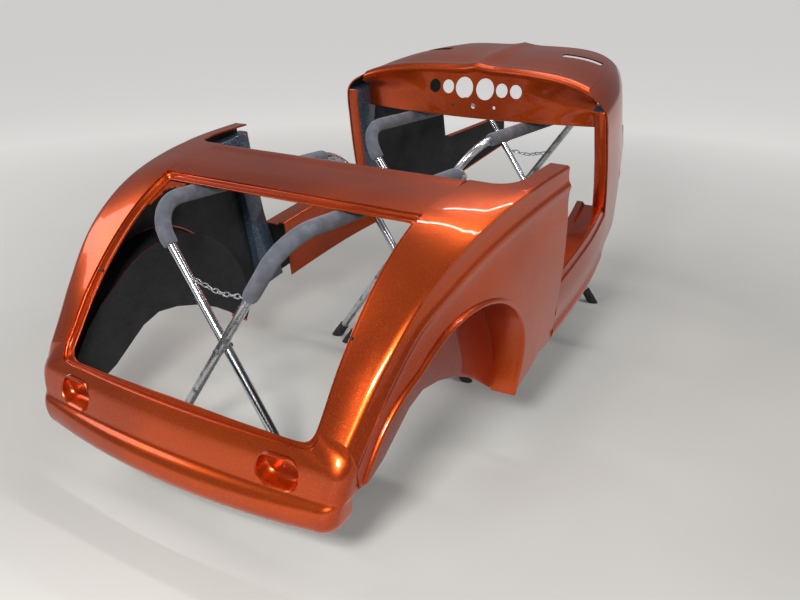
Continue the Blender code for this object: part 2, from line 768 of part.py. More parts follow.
def trunk_path():
    """Right half of the trunk opening's edge with the direction that leads away from it.

    Runs from the middle of the front edge to the middle of the rear edge, on the same stations
    as the panels beside it.
    """
    limit = TRUNK_HALF - TRUNK_CORNER
    points = []
    for x in spread(0, limit, TAIL_COLUMNS)[:-1]:
        points.append(((x, TRUNK_FRONT, deck(x, TRUNK_FRONT)), (0, 1)))
    for x, y in arc((limit, TRUNK_FRONT - TRUNK_CORNER), TRUNK_CORNER, 90, 0, 5):
        away = (x - limit, y - TRUNK_FRONT + TRUNK_CORNER)
        points.append(((x, y, rail_height(y)), away))
    for y in QUARTER_STATIONS[::-1]:
        if TAIL_SEAM + TRUNK_CORNER < y < TRUNK_FRONT - TRUNK_CORNER:
            points.append(((TRUNK_HALF, y, rail_height(y)), (1, 0)))
    path = []
    for (x, y, z), (across, along) in points:
        slope = deck_slope(y)
        path.append((Vector((x, y, z)), Vector((across, along, along * slope)).normalized()))
    side = Vector((1, 0, 0))
    path.append((Vector((TRUNK_HALF, TAIL_SEAM, rail_height(TAIL_SEAM))), side))
    top, below = tail_top(), tail_row(TAIL_ROWS[0])
    for index in range(TAIL_COLUMNS + len(EDGE_TURNS) - 1, -1, -1):
        away = Vector(below[index]) - Vector(top[index])
        path.append((Vector(top[index]), away.normalized()))
    return path


def deck_slope(y):
    """Rise of the rail per metre forward."""
    step = 0.005
    return (rail_height(y + step) - rail_height(y - step)) / (2 * step)


def rail_height(y):
    """Height of the rail on the straight runs between the quarter's stations."""
    stations = [-1.500] + QUARTER_STATIONS
    for low, high in zip(stations, stations[1:]):
        if low <= y <= high:
            share = (y - low) / (high - low)
            return table(DECK_PROFILE, low, 1) * (1 - share) + table(DECK_PROFILE, high, 1) * share
    return table(DECK_PROFILE, y, 1)


def build_gutter(parent):
    """Stepped ledge round the trunk opening, bonded under the skin's edge."""
    half = trunk_path()
    whole = half + [(Vector((-p.x, p.y, p.z)), Vector((-d.x, d.y, d.z))) for p, d in half[-2:0:-1]]
    path = [point for point, _ in whole]
    count = len(path)
    frames = []
    for i, (point, away) in enumerate(whole):
        tangent = (path[(i + 1) % count] - path[i - 1]).normalized()
        normal = tangent.cross(away).normalized()
        frames.append((-away, normal if normal.z > 0 else -normal))
    top = -SHELL - BOND
    ledge = -GUTTER_DEPTH
    section = ((-GUTTER_LAP, top - 0.002), (-0.002, top), (0.002, top - 0.001), (0.004, ledge),
               (GUTTER_REACH, ledge), (GUTTER_REACH, ledge - LINER), (-0.001, ledge - LINER),
               (-0.002, top - LINER - 0.001), (-GUTTER_LAP, top - LINER - 0.002))
    return make("deck_gutter", sweep(path, section, frames, True), PAINT_LOOK, parent)


def build_filler_flange(parent):
    """Gusset with an oval hole in the front left corner of the trunk opening."""
    corner_x, corner_y = FILLER_INSET - TRUNK_HALF, TRUNK_FRONT - FILLER_INSET
    outline = [(corner_x, corner_y), (corner_x, corner_y - FILLER_ALONG)]
    for turn in spread(0, 90, 7):
        angle = math.radians(turn)
        across = FILLER_BAND + (FILLER_ACROSS - FILLER_BAND) * (1 - math.cos(angle))
        along = (FILLER_ALONG - FILLER_BAND) * math.sin(angle)
        outline.append((corner_x + across, corner_y - FILLER_ALONG + along))
    outline.append((corner_x + FILLER_ACROSS, corner_y))
    mesh_data = bmesh.new()
    rings = []
    for depth in (FILLER_DROP, FILLER_DROP + FILLER_THICK):
        rings.append([mesh_data.verts.new((x, y, deck(x, y) - depth)) for x, y in outline])
    count = len(outline)
    caps = [mesh_data.faces.new(rings[0]), mesh_data.faces.new(rings[1][::-1])]
    for i in range(count):
        j = (i + 1) % count
        mesh_data.faces.new((rings[0][i], rings[1][i], rings[1][j], rings[0][j]))
    bmesh.ops.triangulate(mesh_data, faces=caps)
    flange = make("filler_flange", mesh_data, PAINT_LOOK, parent)
    centre = (corner_x + FILLER_ACROSS * 0.42, corner_y - FILLER_ALONG * 0.36)
    outline = []
    for a in range(0, 360, 30):
        u = FILLER_HOLE[0] / 2 * math.cos(math.radians(a))
        v = FILLER_HOLE[1] / 2 * math.sin(math.radians(a))
        outline.append((centre[0] + (u - v) * 0.7071, centre[1] + (u + v) * 0.7071))
    cut(flange, cutter("filler_cutter", prism(outline, 0.5, 0.9, "Z"), parent))


def sill_row(y):
    """Section of the sill: rocker face, door step, inner lip and inner wall."""
    low = table(FLANK, y, 2)
    high = table(FLANK, y, 1)
    lines = {"low": low, "high": high, "step": low - SILL_STEP, "inner": low - SILL_DEPTH}
    return [(lines[line] + across, y, height) for line, across, height in SILL_SECTION]


def build_sills(parent):
    """Rocker and door step between the quarter and the cowl side."""
    rows = [sill_row(y) for y in spread(DOOR_REAR + GAP, DOOR_FRONT - GAP, 9)]
    both_sides("sill", skin(rows, SHELL, (1, 0, 0.3), 1), PAINT_LOOK, parent)


def post_mesh(front_edge, rear_edge, inner, outer):
    """Post between two edges listed from the bottom up, as one ring of four corners a level."""
    mesh_data = bmesh.new()
    rings = []
    for (front_y, front_z), (rear_y, rear_z) in zip(front_edge, rear_edge):
        corners = ((inner, front_y, front_z), (inner, rear_y, rear_z),
                   (outer, rear_y, rear_z), (outer, front_y, front_z))
        rings.append([mesh_data.verts.new((half(y, z), y, z)) for half, y, z in corners])
    join_rings(mesh_data, rings)
    mesh_data.faces.new(rings[0][::-1])
    mesh_data.faces.new(rings[-1])
    return mesh_data


def build_posts(parent):
    """Door posts: rear ones inside the quarter skins, front ones inside the cowl sides."""
    inset = SHELL + POST_INSET

    def rear_outer(y, z):
        return flank(y, z) - inset - (POST_TUCK if z > POST_SHOULDER else 0.0)

    def rear_inner(y, z):
        return min(HORN_INNER, flank(y, z) - REAR_POST_DEPTH)

    front_edge = [(DOOR_REAR, height) for height, _ in REAR_POST]
    rear_edge = [(station, height) for height, station in REAR_POST]
    both_sides("rear_post", post_mesh(front_edge, rear_edge, rear_inner, rear_outer), RESIN_LOOK, parent)

    def front_outer(y, z):
        return cowl_half(y, z) - inset

    def front_inner(y, z):
        return cowl_half(y, z) - POST_WIDTH

    rear_edge = [(DOOR_FRONT, height) for height, _, _ in FRONT_POST]
    front_edge = [(station, height) for _, station, height in FRONT_POST]
    both_sides("front_post", post_mesh(front_edge, rear_edge, front_inner, front_outer), RESIN_LOOK, parent)


def cowl_half(y, z):
    """Half-width of the cowl's side, and of its top above the shoulder."""
    shoulder_half = table(COWL, y, 1)
    shoulder = table(COWL, y, 2)
    if z > shoulder:
        rise = min((z - shoulder) / (table(COWL, y, 3) - RIDGE - shoulder), 1.0)
        return shoulder_half * (1 - rise ** (1 / CROWN_EASE)) ** (1 / CROWN_POWER)
    low = table(FLANK, y, 2)
    share = max(z / shoulder, 0.0)
    return low + (shoulder_half - low) * share + COWL_BULGE * math.sin(math.pi * share)


def cowl_height(x, y):
    """Height of the cowl's top."""
    shoulder_half = table(COWL, y, 1)
    shoulder = table(COWL, y, 2)
    centre = table(COWL, y, 3)
    share = min(abs(x) / shoulder_half, 1.0)
    crown = (1 - share**CROWN_POWER) ** CROWN_EASE
    ridge = RIDGE * max(0.0, 1 - abs(x) / RIDGE_HALF) ** 2
    return shoulder + (centre - RIDGE - shoulder) * crown + ridge


def lip_station(share):
    """Station of the cowl's rear lip at a share of the cowl's half-width."""
    return LIP_CENTRE - LIP_SWEEP * (share / COWL_SEAM) ** 2


def cowl_stations(share):
    """Stations of the cowl's rows at a share of its half-width, from the lip to the front."""
    return spread(lip_station(share), COWL_FRONT, COWL_ROW_COUNT)


def cowl_point(share, station, trim):
    """Point of the cowl's top; trim moves it outwards."""
    x = table(COWL, station, 1) * share + trim
    return (x, station, cowl_height(x, station))


def build_cowl(parent):
    """Cowl top with its rolled rear lip and two slots, and the two cowl sides."""
    columns = spread(-COWL_SEAM, COWL_SEAM, 21)
    rows = []
    for index in range(COWL_ROW_COUNT):
        row = []
        for share in columns:
            trim = -SEAM if share == columns[-1] else SEAM if share == columns[0] else 0.0
            row.append(cowl_point(share, cowl_stations(share)[index], trim))
        rows.append(row)
    lip = [(x, y - LIP_ROLL, z - LIP_ROLL) for x, y, z in rows[0]]
    under = [(x, y + 0.001, z - LIP_DEPTH) for x, y, z in lip]
    rows = [under, lip] + rows
    top = make("cowl_top", skin(rows, SHELL, (0, 0, 1), None, 0), PAINT_LOOK, parent)
    for side, label in ((1, "right"), (-1, "left")):
        xs = sorted((side * SLOT_INNER, side * SLOT_OUTER))
        outline = [(xs[0], SLOT_REAR), (xs[1], SLOT_REAR), (xs[1], SLOT_FRONT), (xs[0], SLOT_FRONT)]
        cut(top, cutter("slot_cutter_" + label, prism(outline, 0.60, 0.90, "Z"), parent))

    rows = []
    for y in [DOOR_FRONT] + cowl_stations(COWL_SEAM):
        shoulder = table(COWL, y, 2)
        row = [cowl_point(COWL_SEAM, y, SEAM)]
        for share in (0.90, 0.94, 0.97, 0.99):
            row.append(cowl_point(share, y, 0.0))
        for share in (1.0, 0.85, 0.7, 0.5, 0.3, 0.15, 0.05, 0.0):
            row.append((cowl_half(y, shoulder * share), y, shoulder * share))
        rows.append(row)
    mesh_data = skin(rows, SHELL, (1, 0, 0), 1, None, 0)
    both_sides("cowl_side", mesh_data, PAINT_LOOK, parent)


def dash_foot(x):
    """Station of the dash's foot, bowed back at the middle."""
    return DASH_CENTRE + (DASH_END - DASH_CENTRE) * (x / DASH_HALF) ** 2


def build_dash(parent):
    """Leaning dash panel with gauge and switch holes, its foot turned forward."""
    rows = []
    for rise, forward in ((0.0, DASH_FOOT),) + tuple((rise, 0.0) for rise in DASH_RISES):
        row = []
        station = DASH_END + forward + LINER
        half = cowl_half(station, DASH_BOTTOM + min(rise, POST_TOP - DASH_BOTTOM)) - POST_WIDTH - DASH_CLEAR
        for share in spread(-1, 1, 17):
            x = half * share
            y = dash_foot(x) + DASH_LEAN * rise * (1 - share**2)
            roof = cowl_height(x, max(y, COWL[0][0])) - SHELL - DASH_TUCK
            row.append((x, y + forward, min(DASH_BOTTOM + rise, roof - (DASH_RISES[-1] - rise) * 0.3)))
        rows.append(row)
    dash = make("dash_panel", skin(rows, LINER, (0, -1, 0)), PAINT_LOOK, parent)
    holes = [(side * x, GAUGE_HEIGHT, r) for x, r in GAUGES for side in (1, -1)]
    holes += [(x, SWITCH_HEIGHT, r) for x, r in SWITCHES]
    for index, (x, z, radius) in enumerate(holes):
        outline = arc((x, z), radius, 0, 345, 24)
        cut(dash, cutter(f"gauge_cutter_{index}", prism(outline, 0.30, 0.60, "Y"), parent))


def build_aprons(parent):
    """Low side rails running forward from the cowl to carry the hood."""
    rows = []
    for y in spread(COWL_FRONT + GAP, APRON_FRONT, 7):
        low = table(FLANK, y, 2)
        high = table(FLANK, y, 1)
        share = (y - COWL_FRONT) / (APRON_FRONT - COWL_FRONT)
        foot = APRON_FOOT + APRON_RISE * share
        rows.append([(low - APRON_TURN, y, foot + 0.004), (low, y, foot), (low + 0.010, y, foot + 0.050),
                     (high, y, 0.150), (high - 0.004, y, APRON_TOP - 0.010), (high - 0.012, y, APRON_TOP),
                     (high - APRON_TURN, y, APRON_TOP)])
    both_sides("apron", skin(rows, SHELL, (1, 0, 0), 1), PAINT_LOOK, parent)


def path_frames(path):
    """Side and up directions along a path, carried out from its middle, where the side is upright."""
    points = [Vector(p) for p in path]
    count = len(points)
    runs = [(points[min(i + 1, count - 1)] - points[max(i - 1, 0)]).normalized() for i in range(count)]
    middle = count // 2
    sides = [None] * count
    upright = Vector((0, 0, 1))
    for order in (range(middle, count), range(middle, -1, -1)):
        side = upright
        for i in order:
            side = (side - runs[i] * side.dot(runs[i])).normalized()
            sides[i] = side
    return [(side, run.cross(side)) for side, run in zip(sides, runs)]


def path_rings(mesh_data, path, radius, sides):
    """One ring of vertices round each point of a path."""
    rings = []
    for point, (side, up) in zip(path, path_frames(path)):
        ring = []
        for k in range(sides):
            angle = 2 * math.pi * k / sides
            spoke = side * math.cos(angle) + up * math.sin(angle)
            ring.append(mesh_data.verts.new(Vector(point) + spoke * radius))
        rings.append(ring)
    return rings


def join_rings(mesh_data, rings):
    """Faces between neighbouring rings of the same count."""
    for a, b in zip(rings, rings[1:]):
        count = len(a)
        for i in range(count):
            j = (i + 1) % count
            mesh_data.faces.new((a[i], a[j], b[j], b[i]))


def tube_mesh(path, radius, sides):
    """Closed round tube or bar along a path of points."""
    mesh_data = bmesh.new()
    rings = path_rings(mesh_data, path, radius, sides)
    join_rings(mesh_data, rings)
    mesh_data.faces.new(rings[0][::-1])
    mesh_data.faces.new(rings[-1])
    return mesh_data


def sleeve_mesh(path, outer, inner, sides):
    """Closed hollow sleeve round a tube's path."""
    mesh_data = bmesh.new()
    skin_rings = path_rings(mesh_data, path, outer, sides)
    bore_rings = path_rings(mesh_data, path, inner / math.cos(math.pi / sides), sides)
    join_rings(mesh_data, skin_rings)
    join_rings(mesh_data, bore_rings)
    for index in (0, -1):
        join_rings(mesh_data, (skin_rings[index], bore_rings[index]))
    return mesh_data


def stand_frame_path(top_x, foot_x, height, half_length, foot_level):
    """Inverted U of one stand frame: foot, leg, bend, bar, bend, leg, foot."""
    lean = Vector((foot_x - top_x, 0, -height)).normalized()
    corner = Vector((top_x, -half_length, height))
    near = [corner + lean * ((height - foot_level) / -lean.z)]
    for turn in spread(0, 90, BEND_POINTS):
        angle = math.radians(turn)
        near.append(corner + lean * BAR_BEND * (1 - math.sin(angle))
                    + Vector((0, BAR_BEND * (1 - math.cos(angle)), 0)))
    far = [Vector((p.x, -p.y, p.z)) for p in near[::-1]]
    return near + far


def part_of_path(path, start, stop):
    """Stretch of a path between two lengths measured from its first point."""
    points = []
    walked = 0.0
    for low, high in zip(path, path[1:]):
        length = (high - low).length
        if walked <= start < walked + length:
            points.append(low.lerp(high, (start - walked) / length))
        if start < walked + length < stop:
            points.append(high)
        if walked < stop <= walked + length:
            points.append(low.lerp(high, (stop - walked) / length))
        walked += length
    return points


def pad_path(path, rear_reach, fore_reach):
    """Path of a foam sleeve: the bar, with some of the tube past each of its ends."""
    lengths = [(b - a).length for a, b in zip(path, path[1:])]
    bar = BEND_POINTS
    start = sum(lengths[:bar]) - rear_reach
    stop = sum(lengths[:bar + 1]) + fore_reach
    return part_of_path(path, start, stop)


def floor_height(point):
    """Height over the floor of a point given in the body's own frame."""
    return DATUM_Z + point[1] * math.sin(PITCH) + point[2] * math.cos(PITCH)


def gutter_seat(gutter):
    """Height over the floor of the gutter's underside along the trunk opening's front edge."""
    straight = TRUNK_HALF - 2 * TRUNK_CORNER
    points = [v.co for v in gutter.data.vertices
              if abs(v.co.x) < straight and abs(v.co.y - TRUNK_FRONT) < SEAT_REACH]
    return min(floor_height(point) for point in points)


def dash_seat(spec):
    """Height over the floor of the dash's foot where the lower of the two bars crosses it."""
    bars = (spec[1] - spec[4], spec[1] + spec[4])
    return min(floor_height((x, dash_foot(x), DASH_BOTTOM)) for x in bars)


def build_stand(spec, seat):
    """One folding stand: two U frames crossing at their pivot bolts, pads, feet and a chain."""
    label, centre_x, centre_y, yaw, half_top, half_foot = spec
    height = seat - PAD_R - GAP
    base = bpy.data.objects.new(label + "_stand", None)
    bpy.context.scene.collection.objects.link(base)
    base.location = (centre_x, centre_y, 0)
    base.rotation_euler = (0, 0, math.radians(yaw))
    step = TUBE_R + GAP
    frames = []
    for letter, side in (("a", -1), ("b", 1)):
        half_length = STAND_LENGTH / 2 + side * step
        path = stand_frame_path(side * half_top, -side * half_foot, height, half_length, FOOT_LEVEL)
        frames.append(make(f"{label}_frame_{letter}", tube_mesh(path, TUBE_R, TUBE_SIDES), STEEL_LOOK, base))
        reaches = next(row[2:] for row in PADS if row[:2] == (label, letter))
        sleeve = sleeve_mesh(pad_path(path, *reaches), PAD_R, TUBE_R + GAP, TUBE_SIDES)
        make(f"{label}_pad_{letter}", sleeve, FOAM_LOOK, base)
        lean = (path[0] - path[1]).normalized()
        for end, place in (("rear", path[0]), ("fore", path[-1])):
            make(f"{label}_foot_{letter}_{end}", foot_mesh(place, lean), RUBBER_LOOK, base)
    cross = height * half_foot / (half_top + half_foot)
    for end, sign in (("rear", -1), ("fore", 1)):
        y = sign * STAND_LENGTH / 2
        make(f"{label}_bolt_{end}", bolt_mesh(y, cross, 0), STEEL_LOOK, base)
        hole = cutter(f"{label}_bolt_hole_{end}", bolt_mesh(y, cross, GAP), base)
        for frame in frames:
            cut(frame, hole)
    sign = 1 if label == "front" else -1
    ends = [sign * (STAND_LENGTH / 2 - step), sign * (STAND_LENGTH / 2 + step)]
    path = chain_path(half_top, half_foot, height, ends[0], ends[1])
    make(f"{label}_chain", tube_mesh(path, CHAIN_R, 8), STEEL_LOOK, base)


def foot_mesh(place, lean):
    """Rubber boot round a leg's end, cut flat at the floor."""
    mesh_data = bmesh.new()
    top = place - lean * FOOT_LENGTH
    skin_rings = path_rings(mesh_data, (top, place + lean * FOOT_LENGTH), FOOT_R, TUBE_SIDES)
    bore = (TUBE_R + GAP) / math.cos(math.pi / TUBE_SIDES)
    bore_rings = path_rings(mesh_data, (top, place + lean * GAP), bore, TUBE_SIDES)
    join_rings(mesh_data, skin_rings)
    join_rings(mesh_data, bore_rings)
    join_rings(mesh_data, (skin_rings[0], bore_rings[0]))
    mesh_data.faces.new(skin_rings[1])
    mesh_data.faces.new(bore_rings[1])
    geometry = mesh_data.verts[:] + mesh_data.edges[:] + mesh_data.faces[:]
    floor = bmesh.ops.bisect_plane(mesh_data, geom=geometry, plane_co=(0, 0, 0), plane_no=(0, 0, -1),
                                   clear_outer=True)
    edges = [item for item in floor["geom_cut"] if isinstance(item, bmesh.types.BMEdge)]
    bmesh.ops.contextual_create(mesh_data, geom=edges)
    return mesh_data


def bolt_mesh(y, z, grow):
    """Pivot bolt through both legs, with a head and a nut; grow widens it into its hole's cutter."""
    seat = 2 * TUBE_R + 3 * GAP
    steps = ((-seat - HEAD_THICK, HEAD_R), (-seat, HEAD_R), (-seat, BOLT_R), (seat, BOLT_R),
             (seat, HEAD_R), (seat + HEAD_THICK, HEAD_R))
    if grow:
        steps = ((-seat, BOLT_R + grow), (seat, BOLT_R + grow))
    mesh_data = bmesh.new()
    rings = []
    for offset, radius in steps:
        rings.append([mesh_data.verts.new((a, y + offset, z + b)) for a, b in arc((0, 0), radius, 0, 315, 8)])
    for a, b in zip(rings, rings[1:]):
        for i in range(8):
            j = (i + 1) % 8
            mesh_data.faces.new((a[i], a[j], b[j], b[i]))
    mesh_data.faces.new(rings[0][::-1])
    mesh_data.faces.new(rings[-1])
    return mesh_data


def chain_ends(half_top, half_foot, height):
    """Half spread of the two legs' surfaces at the chain's level."""
    slope = (half_top + half_foot) / height
    level = height * CHAIN_FRACTION
    return half_top - (height - level) * slope - TUBE_R * math.sqrt(1 + slope**2), level, slope


def chain_path(half_top, half_foot, height, y_a, y_b):
    """Slack line of the chain between the two legs at one end of a stand."""
    reach, level, slope = chain_ends(half_top, half_foot, height)
    reach -= CHAIN_R * slope + GAP
    points = []
    for share in spread(0, 1, 13):
        sag = CHAIN_SAG * (4 * share * (1 - share)) ** 2
        points.append((reach * (2 * share - 1), y_a + (y_b - y_a) * share, level - sag))
    return points


def main():
    """Build the shell and its two stands."""
    clear_scene()
    body = bpy.data.objects.new("body_datum", None)
    bpy.context.scene.collection.objects.link(body)
    body.location = (0, DATUM_Y, DATUM_Z)
    body.rotation_euler = (PITCH, 0, 0)
    build_quarters(body)
    build_arch_flanges(body)
    build_well_walls(body)
    build_bridge(body)
    build_tail(body)
    build_pockets(body)
    gutter = build_gutter(body)
    build_filler_flange(body)
    build_sills(body)
    build_posts(body)
    build_cowl(body)
    build_dash(body)
    build_aprons(body)
    for spec, seat in zip(STANDS, (gutter_seat(gutter), dash_seat(STANDS[1]))):
        build_stand(spec, seat)


main()
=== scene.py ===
import logging
import math
from dataclasses import dataclass, field
from enum import Enum
from typing import Callable, Iterable, Optional, Sequence

import bmesh
import bpy
import numpy as np
from mathutils import Matrix, Vector


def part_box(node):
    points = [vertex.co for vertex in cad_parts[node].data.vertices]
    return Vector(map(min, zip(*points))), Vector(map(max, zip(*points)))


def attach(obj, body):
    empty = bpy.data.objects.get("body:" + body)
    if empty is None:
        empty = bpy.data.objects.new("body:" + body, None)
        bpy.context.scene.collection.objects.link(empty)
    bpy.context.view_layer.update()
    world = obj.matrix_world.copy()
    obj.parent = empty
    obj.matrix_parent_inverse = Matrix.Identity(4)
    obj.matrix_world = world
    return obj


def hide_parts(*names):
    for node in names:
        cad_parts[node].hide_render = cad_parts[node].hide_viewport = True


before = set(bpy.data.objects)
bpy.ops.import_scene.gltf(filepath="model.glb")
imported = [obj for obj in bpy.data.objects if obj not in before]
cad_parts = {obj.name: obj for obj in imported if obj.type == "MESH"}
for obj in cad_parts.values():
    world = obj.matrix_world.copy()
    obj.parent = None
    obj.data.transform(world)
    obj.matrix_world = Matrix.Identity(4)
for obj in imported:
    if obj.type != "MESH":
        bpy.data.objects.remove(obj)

log = logging.getLogger("shell")

Section = tuple[tuple[float, ...], ...]
Place = tuple[float, float, float]
Shade = tuple[float, float, float, float]
Inputs = dict[str | int, object]
Tree = bpy.types.NodeTree
Socket = bpy.types.NodeSocket
ROOT = "root"
GAP = 0.0003      # left between touching pieces
SEAM = GAP / 2    # taken off each side of a panel seam


class Choice(Enum):
    """A named choice, whose word is part of node names."""

    @property
    def label(self) -> str:
        """The choice's word as node names spell it."""
        return self.name.lower()


class Side(Choice):
    """The two sides of the body, by the sign of X."""

    RIGHT = 1
    LEFT = -1


class Post(Choice):
    """The posts behind and ahead of a door, by the way that their jambs face along Y."""

    REAR = 1
    FRONT = -1


class Leg(Choice):
    """The two crossed frames of a stand, by the side that their bar is on."""

    A = -1
    B = 1


class End(Choice):
    """The two ends of a stand, by the sign of Y."""

    REAR = -1
    FORE = 1


class Axis(Enum):
    """The axis that a straight form runs along."""

    X = 0
    Y = 1
    Z = 2

    def point(self, a: float, b: float, along: float) -> tuple[float, ...]:
        """Point from its two places across the axis and its place along it."""
        across = (a, b)
        return across[:self.value] + (along,) + across[self.value:]


# Colours and shader nodes


def colour(code: str) -> Shade:
    """Turn an sRGB hex code into Blender's linear colour.

    Args:
        code: Six hex digits after a hash.
    Returns:
        Linear red, green, blue and full alpha.
    """
    parts = [int(code[i:i + 2], 16) / 255 for i in (1, 3, 5)]
    red, green, blue = (c / 12.92 if c <= 0.04045 else ((c + 0.055) / 1.055) ** 2.4 for c in parts)
    return (red, green, blue, 1.0)


def grey(value: float) -> Shade:
    """A neutral ramp stop."""
    return (value, value, value, 1.0)


def per_mm(size: float) -> float:
    """Texture scale at which one feature is size millimetres wide."""
    return 1000.0 / size


def feed(tree: Tree, node: bpy.types.Node, inputs: Inputs) -> None:
    """Set or link a node's inputs.

    Args:
        tree: The node tree.
        node: The node.
        inputs: Input name or index, with a value or the socket that feeds it.
    """
    for name, value in inputs.items():
        if isinstance(value, Socket):
            tree.links.new(value, node.inputs[name])
        else:
            node.inputs[name].default_value = value


def add(tree: Tree, kind: str, inputs: Optional[Inputs] = None,
        stops: Sequence[tuple[float, Shade]] = (), **settings: object) -> bpy.types.Node:
    """Add a node, set its properties, and set or link its inputs.

    Args:
        tree: The node tree.
        kind: The node's type name.
        inputs: Input name or index, with a value or the socket that feeds it.
        stops: Position and linear colour of each stop, where the node has a colour ramp.
        settings: Properties of the node itself.
    Returns:
        The new node.
    """
    made = tree.nodes.new(kind)
    for name, value in settings.items():
        setattr(made, name, value)
    feed(tree, made, inputs or {})
    if stops:
        elements = made.color_ramp.elements
        while len(elements) < len(stops):
            elements.new(1.0)
        for element, (position, shade) in zip(elements, stops):
            element.position = position
            element.color = shade
    return made


# Finishes


@dataclass(frozen=True)
class Finish:
    """A material that is built once and shared by the pieces that wear it."""

    name: str

    def material(self) -> bpy.types.Material:
        """Build the material, or find the one built before.

        Returns:
            The material.
        """
        found = bpy.data.materials.get(self.name)
        if found is not None:
            return found
        made = bpy.data.materials.new(self.name)
        made.use_nodes = True
        tree = made.node_tree
        place = add(tree, "ShaderNodeTexCoord").outputs["Object"]
        feed(tree, tree.nodes["Principled BSDF"], self.dress(tree, place))
        return made

    def dress(self, tree: Tree, place: Socket) -> Inputs:
        """Make the finish's nodes."""
        raise NotImplementedError


@dataclass(frozen=True)
class MetallicLacquer(Finish):
    """Basecoat and clear lacquer sprayed on moulded fibreglass.

    Aluminium and mica flakes in the basecoat catch light in a broad warm glow, under a
    clear coat that mirrors lamps sharply. Block sanding leaves a slow waviness.
    """

    base: str = "#C24609"
    deep: str = "#A93808"
    flake: str = "#FFAE42"
    glow: float = 0.88
    softness: float = 0.31
    sparkle: float = 0.26
    coat: float = 0.45

    def dress(self, tree: Tree, place: Socket) -> Inputs:
        """Drifting basecoat, flakes and a clear coat.

        Args:
            tree: Its nodes.
            place: The coordinates.
        Returns:
            Shader inputs.
        """
        # the basecoat drifts over about 420 mm, as a spray gun's passes do
        drift = add(tree, "ShaderNodeTexNoise", {"Vector": place, "Scale": per_mm(420), "Detail": 2.0})
        body = add(tree, "ShaderNodeValToRGB", {"Fac": drift.outputs["Fac"]},
                   ((0.35, colour(self.deep)), (0.65, colour(self.base))))
        # the flakes are 0.1 mm, drawn at 1.6 mm so that they show as a faint sparkle
        flakes = add(tree, "ShaderNodeTexVoronoi", {"Vector": place, "Scale": per_mm(1.6)})
        glint = add(tree, "ShaderNodeValToRGB", {"Fac": flakes.outputs["Color"]},
                    ((0.72, grey(0.0)), (0.95, grey(self.sparkle))))
        mixed = add(tree, "ShaderNodeMixRGB",
                    {"Fac": glint.outputs[0], "Color1": body.outputs[0], "Color2": colour(self.flake)})
        # slow waviness of a hand-blocked panel, and the fine skin of the lacquer
        wave = add(tree, "ShaderNodeTexNoise", {"Vector": place, "Scale": per_mm(160), "Detail": 1.0})
        peel = add(tree, "ShaderNodeTexNoise", {"Vector": place, "Scale": per_mm(5), "Detail": 1.0})
        both = add(tree, "ShaderNodeMath", {0: peel.outputs["Fac"], 1: 0.012, 2: wave.outputs["Fac"]},
                   operation="MULTIPLY_ADD")
        bump = add(tree, "ShaderNodeBump", {"Height": both.outputs[0], "Strength": 0.25, "Distance": 0.004})
        grain = add(tree, "ShaderNodeBump",
                    {"Height": flakes.outputs["Distance"], "Strength": 0.10, "Distance": 0.0006})
        return {"Base Color": mixed.outputs[0], "Metallic": self.glow, "Roughness": self.softness,
                "Coat Weight": self.coat, "Coat Roughness": 0.03, "Coat Normal": bump.outputs[0],
                "Normal": grain.outputs[0]}


@dataclass(frozen=True)
class Gelcoat(Finish):
    """Pigmented gelcoat over chopped strand mat, brushed matt black on the shell's inner face.

    Short glass strands show through as a raised tangle, and brush marks run through the sheen.
    """

    base: str = "#101113"
    strand: str = "#1F2124"
    matt: float = 0.62

    def dress(self, tree: Tree, place: Socket) -> Inputs:
        """Strand mat under black paint.

        Args:
            tree: Its nodes.
            place: The coordinates.
        Returns:
            Shader inputs.
        """
        # strands are about 1 mm wide and 50 mm long, drawn 6 mm wide so that they show
        twist = add(tree, "ShaderNodeTexNoise", {"Vector": place, "Scale": per_mm(60), "Detail": 2.0})
        bent = add(tree, "ShaderNodeMixRGB", {"Fac": 0.08, "Color1": place, "Color2": twist.outputs["Color"]})
        stretch = add(tree, "ShaderNodeMapping", {"Vector": bent.outputs[0], "Scale": (1.0, 0.12, 1.0)})
        mat = add(tree, "ShaderNodeTexNoise",
                  {"Vector": stretch.outputs[0], "Scale": per_mm(6), "Detail": 3.0})
        shade = add(tree, "ShaderNodeValToRGB", {"Fac": mat.outputs["Fac"]},
                    ((0.35, colour(self.base)), (0.75, colour(self.strand))))
        # brushed patches are about a hand wide
        patches = add(tree, "ShaderNodeTexNoise", {"Vector": place, "Scale": per_mm(90), "Detail": 3.0})
        sheen = add(tree, "ShaderNodeValToRGB", {"Fac": patches.outputs["Fac"]},
                    ((0.3, grey(self.matt - 0.12)), (0.7, grey(self.matt + 0.14))))
        bump = add(tree, "ShaderNodeBump",
                   {"Height": mat.outputs["Fac"], "Strength": 0.5, "Distance": 0.0012})
        return {"Base Color": shade.outputs[0], "Roughness": sheen.outputs[0], "Normal": bump.outputs[0]}


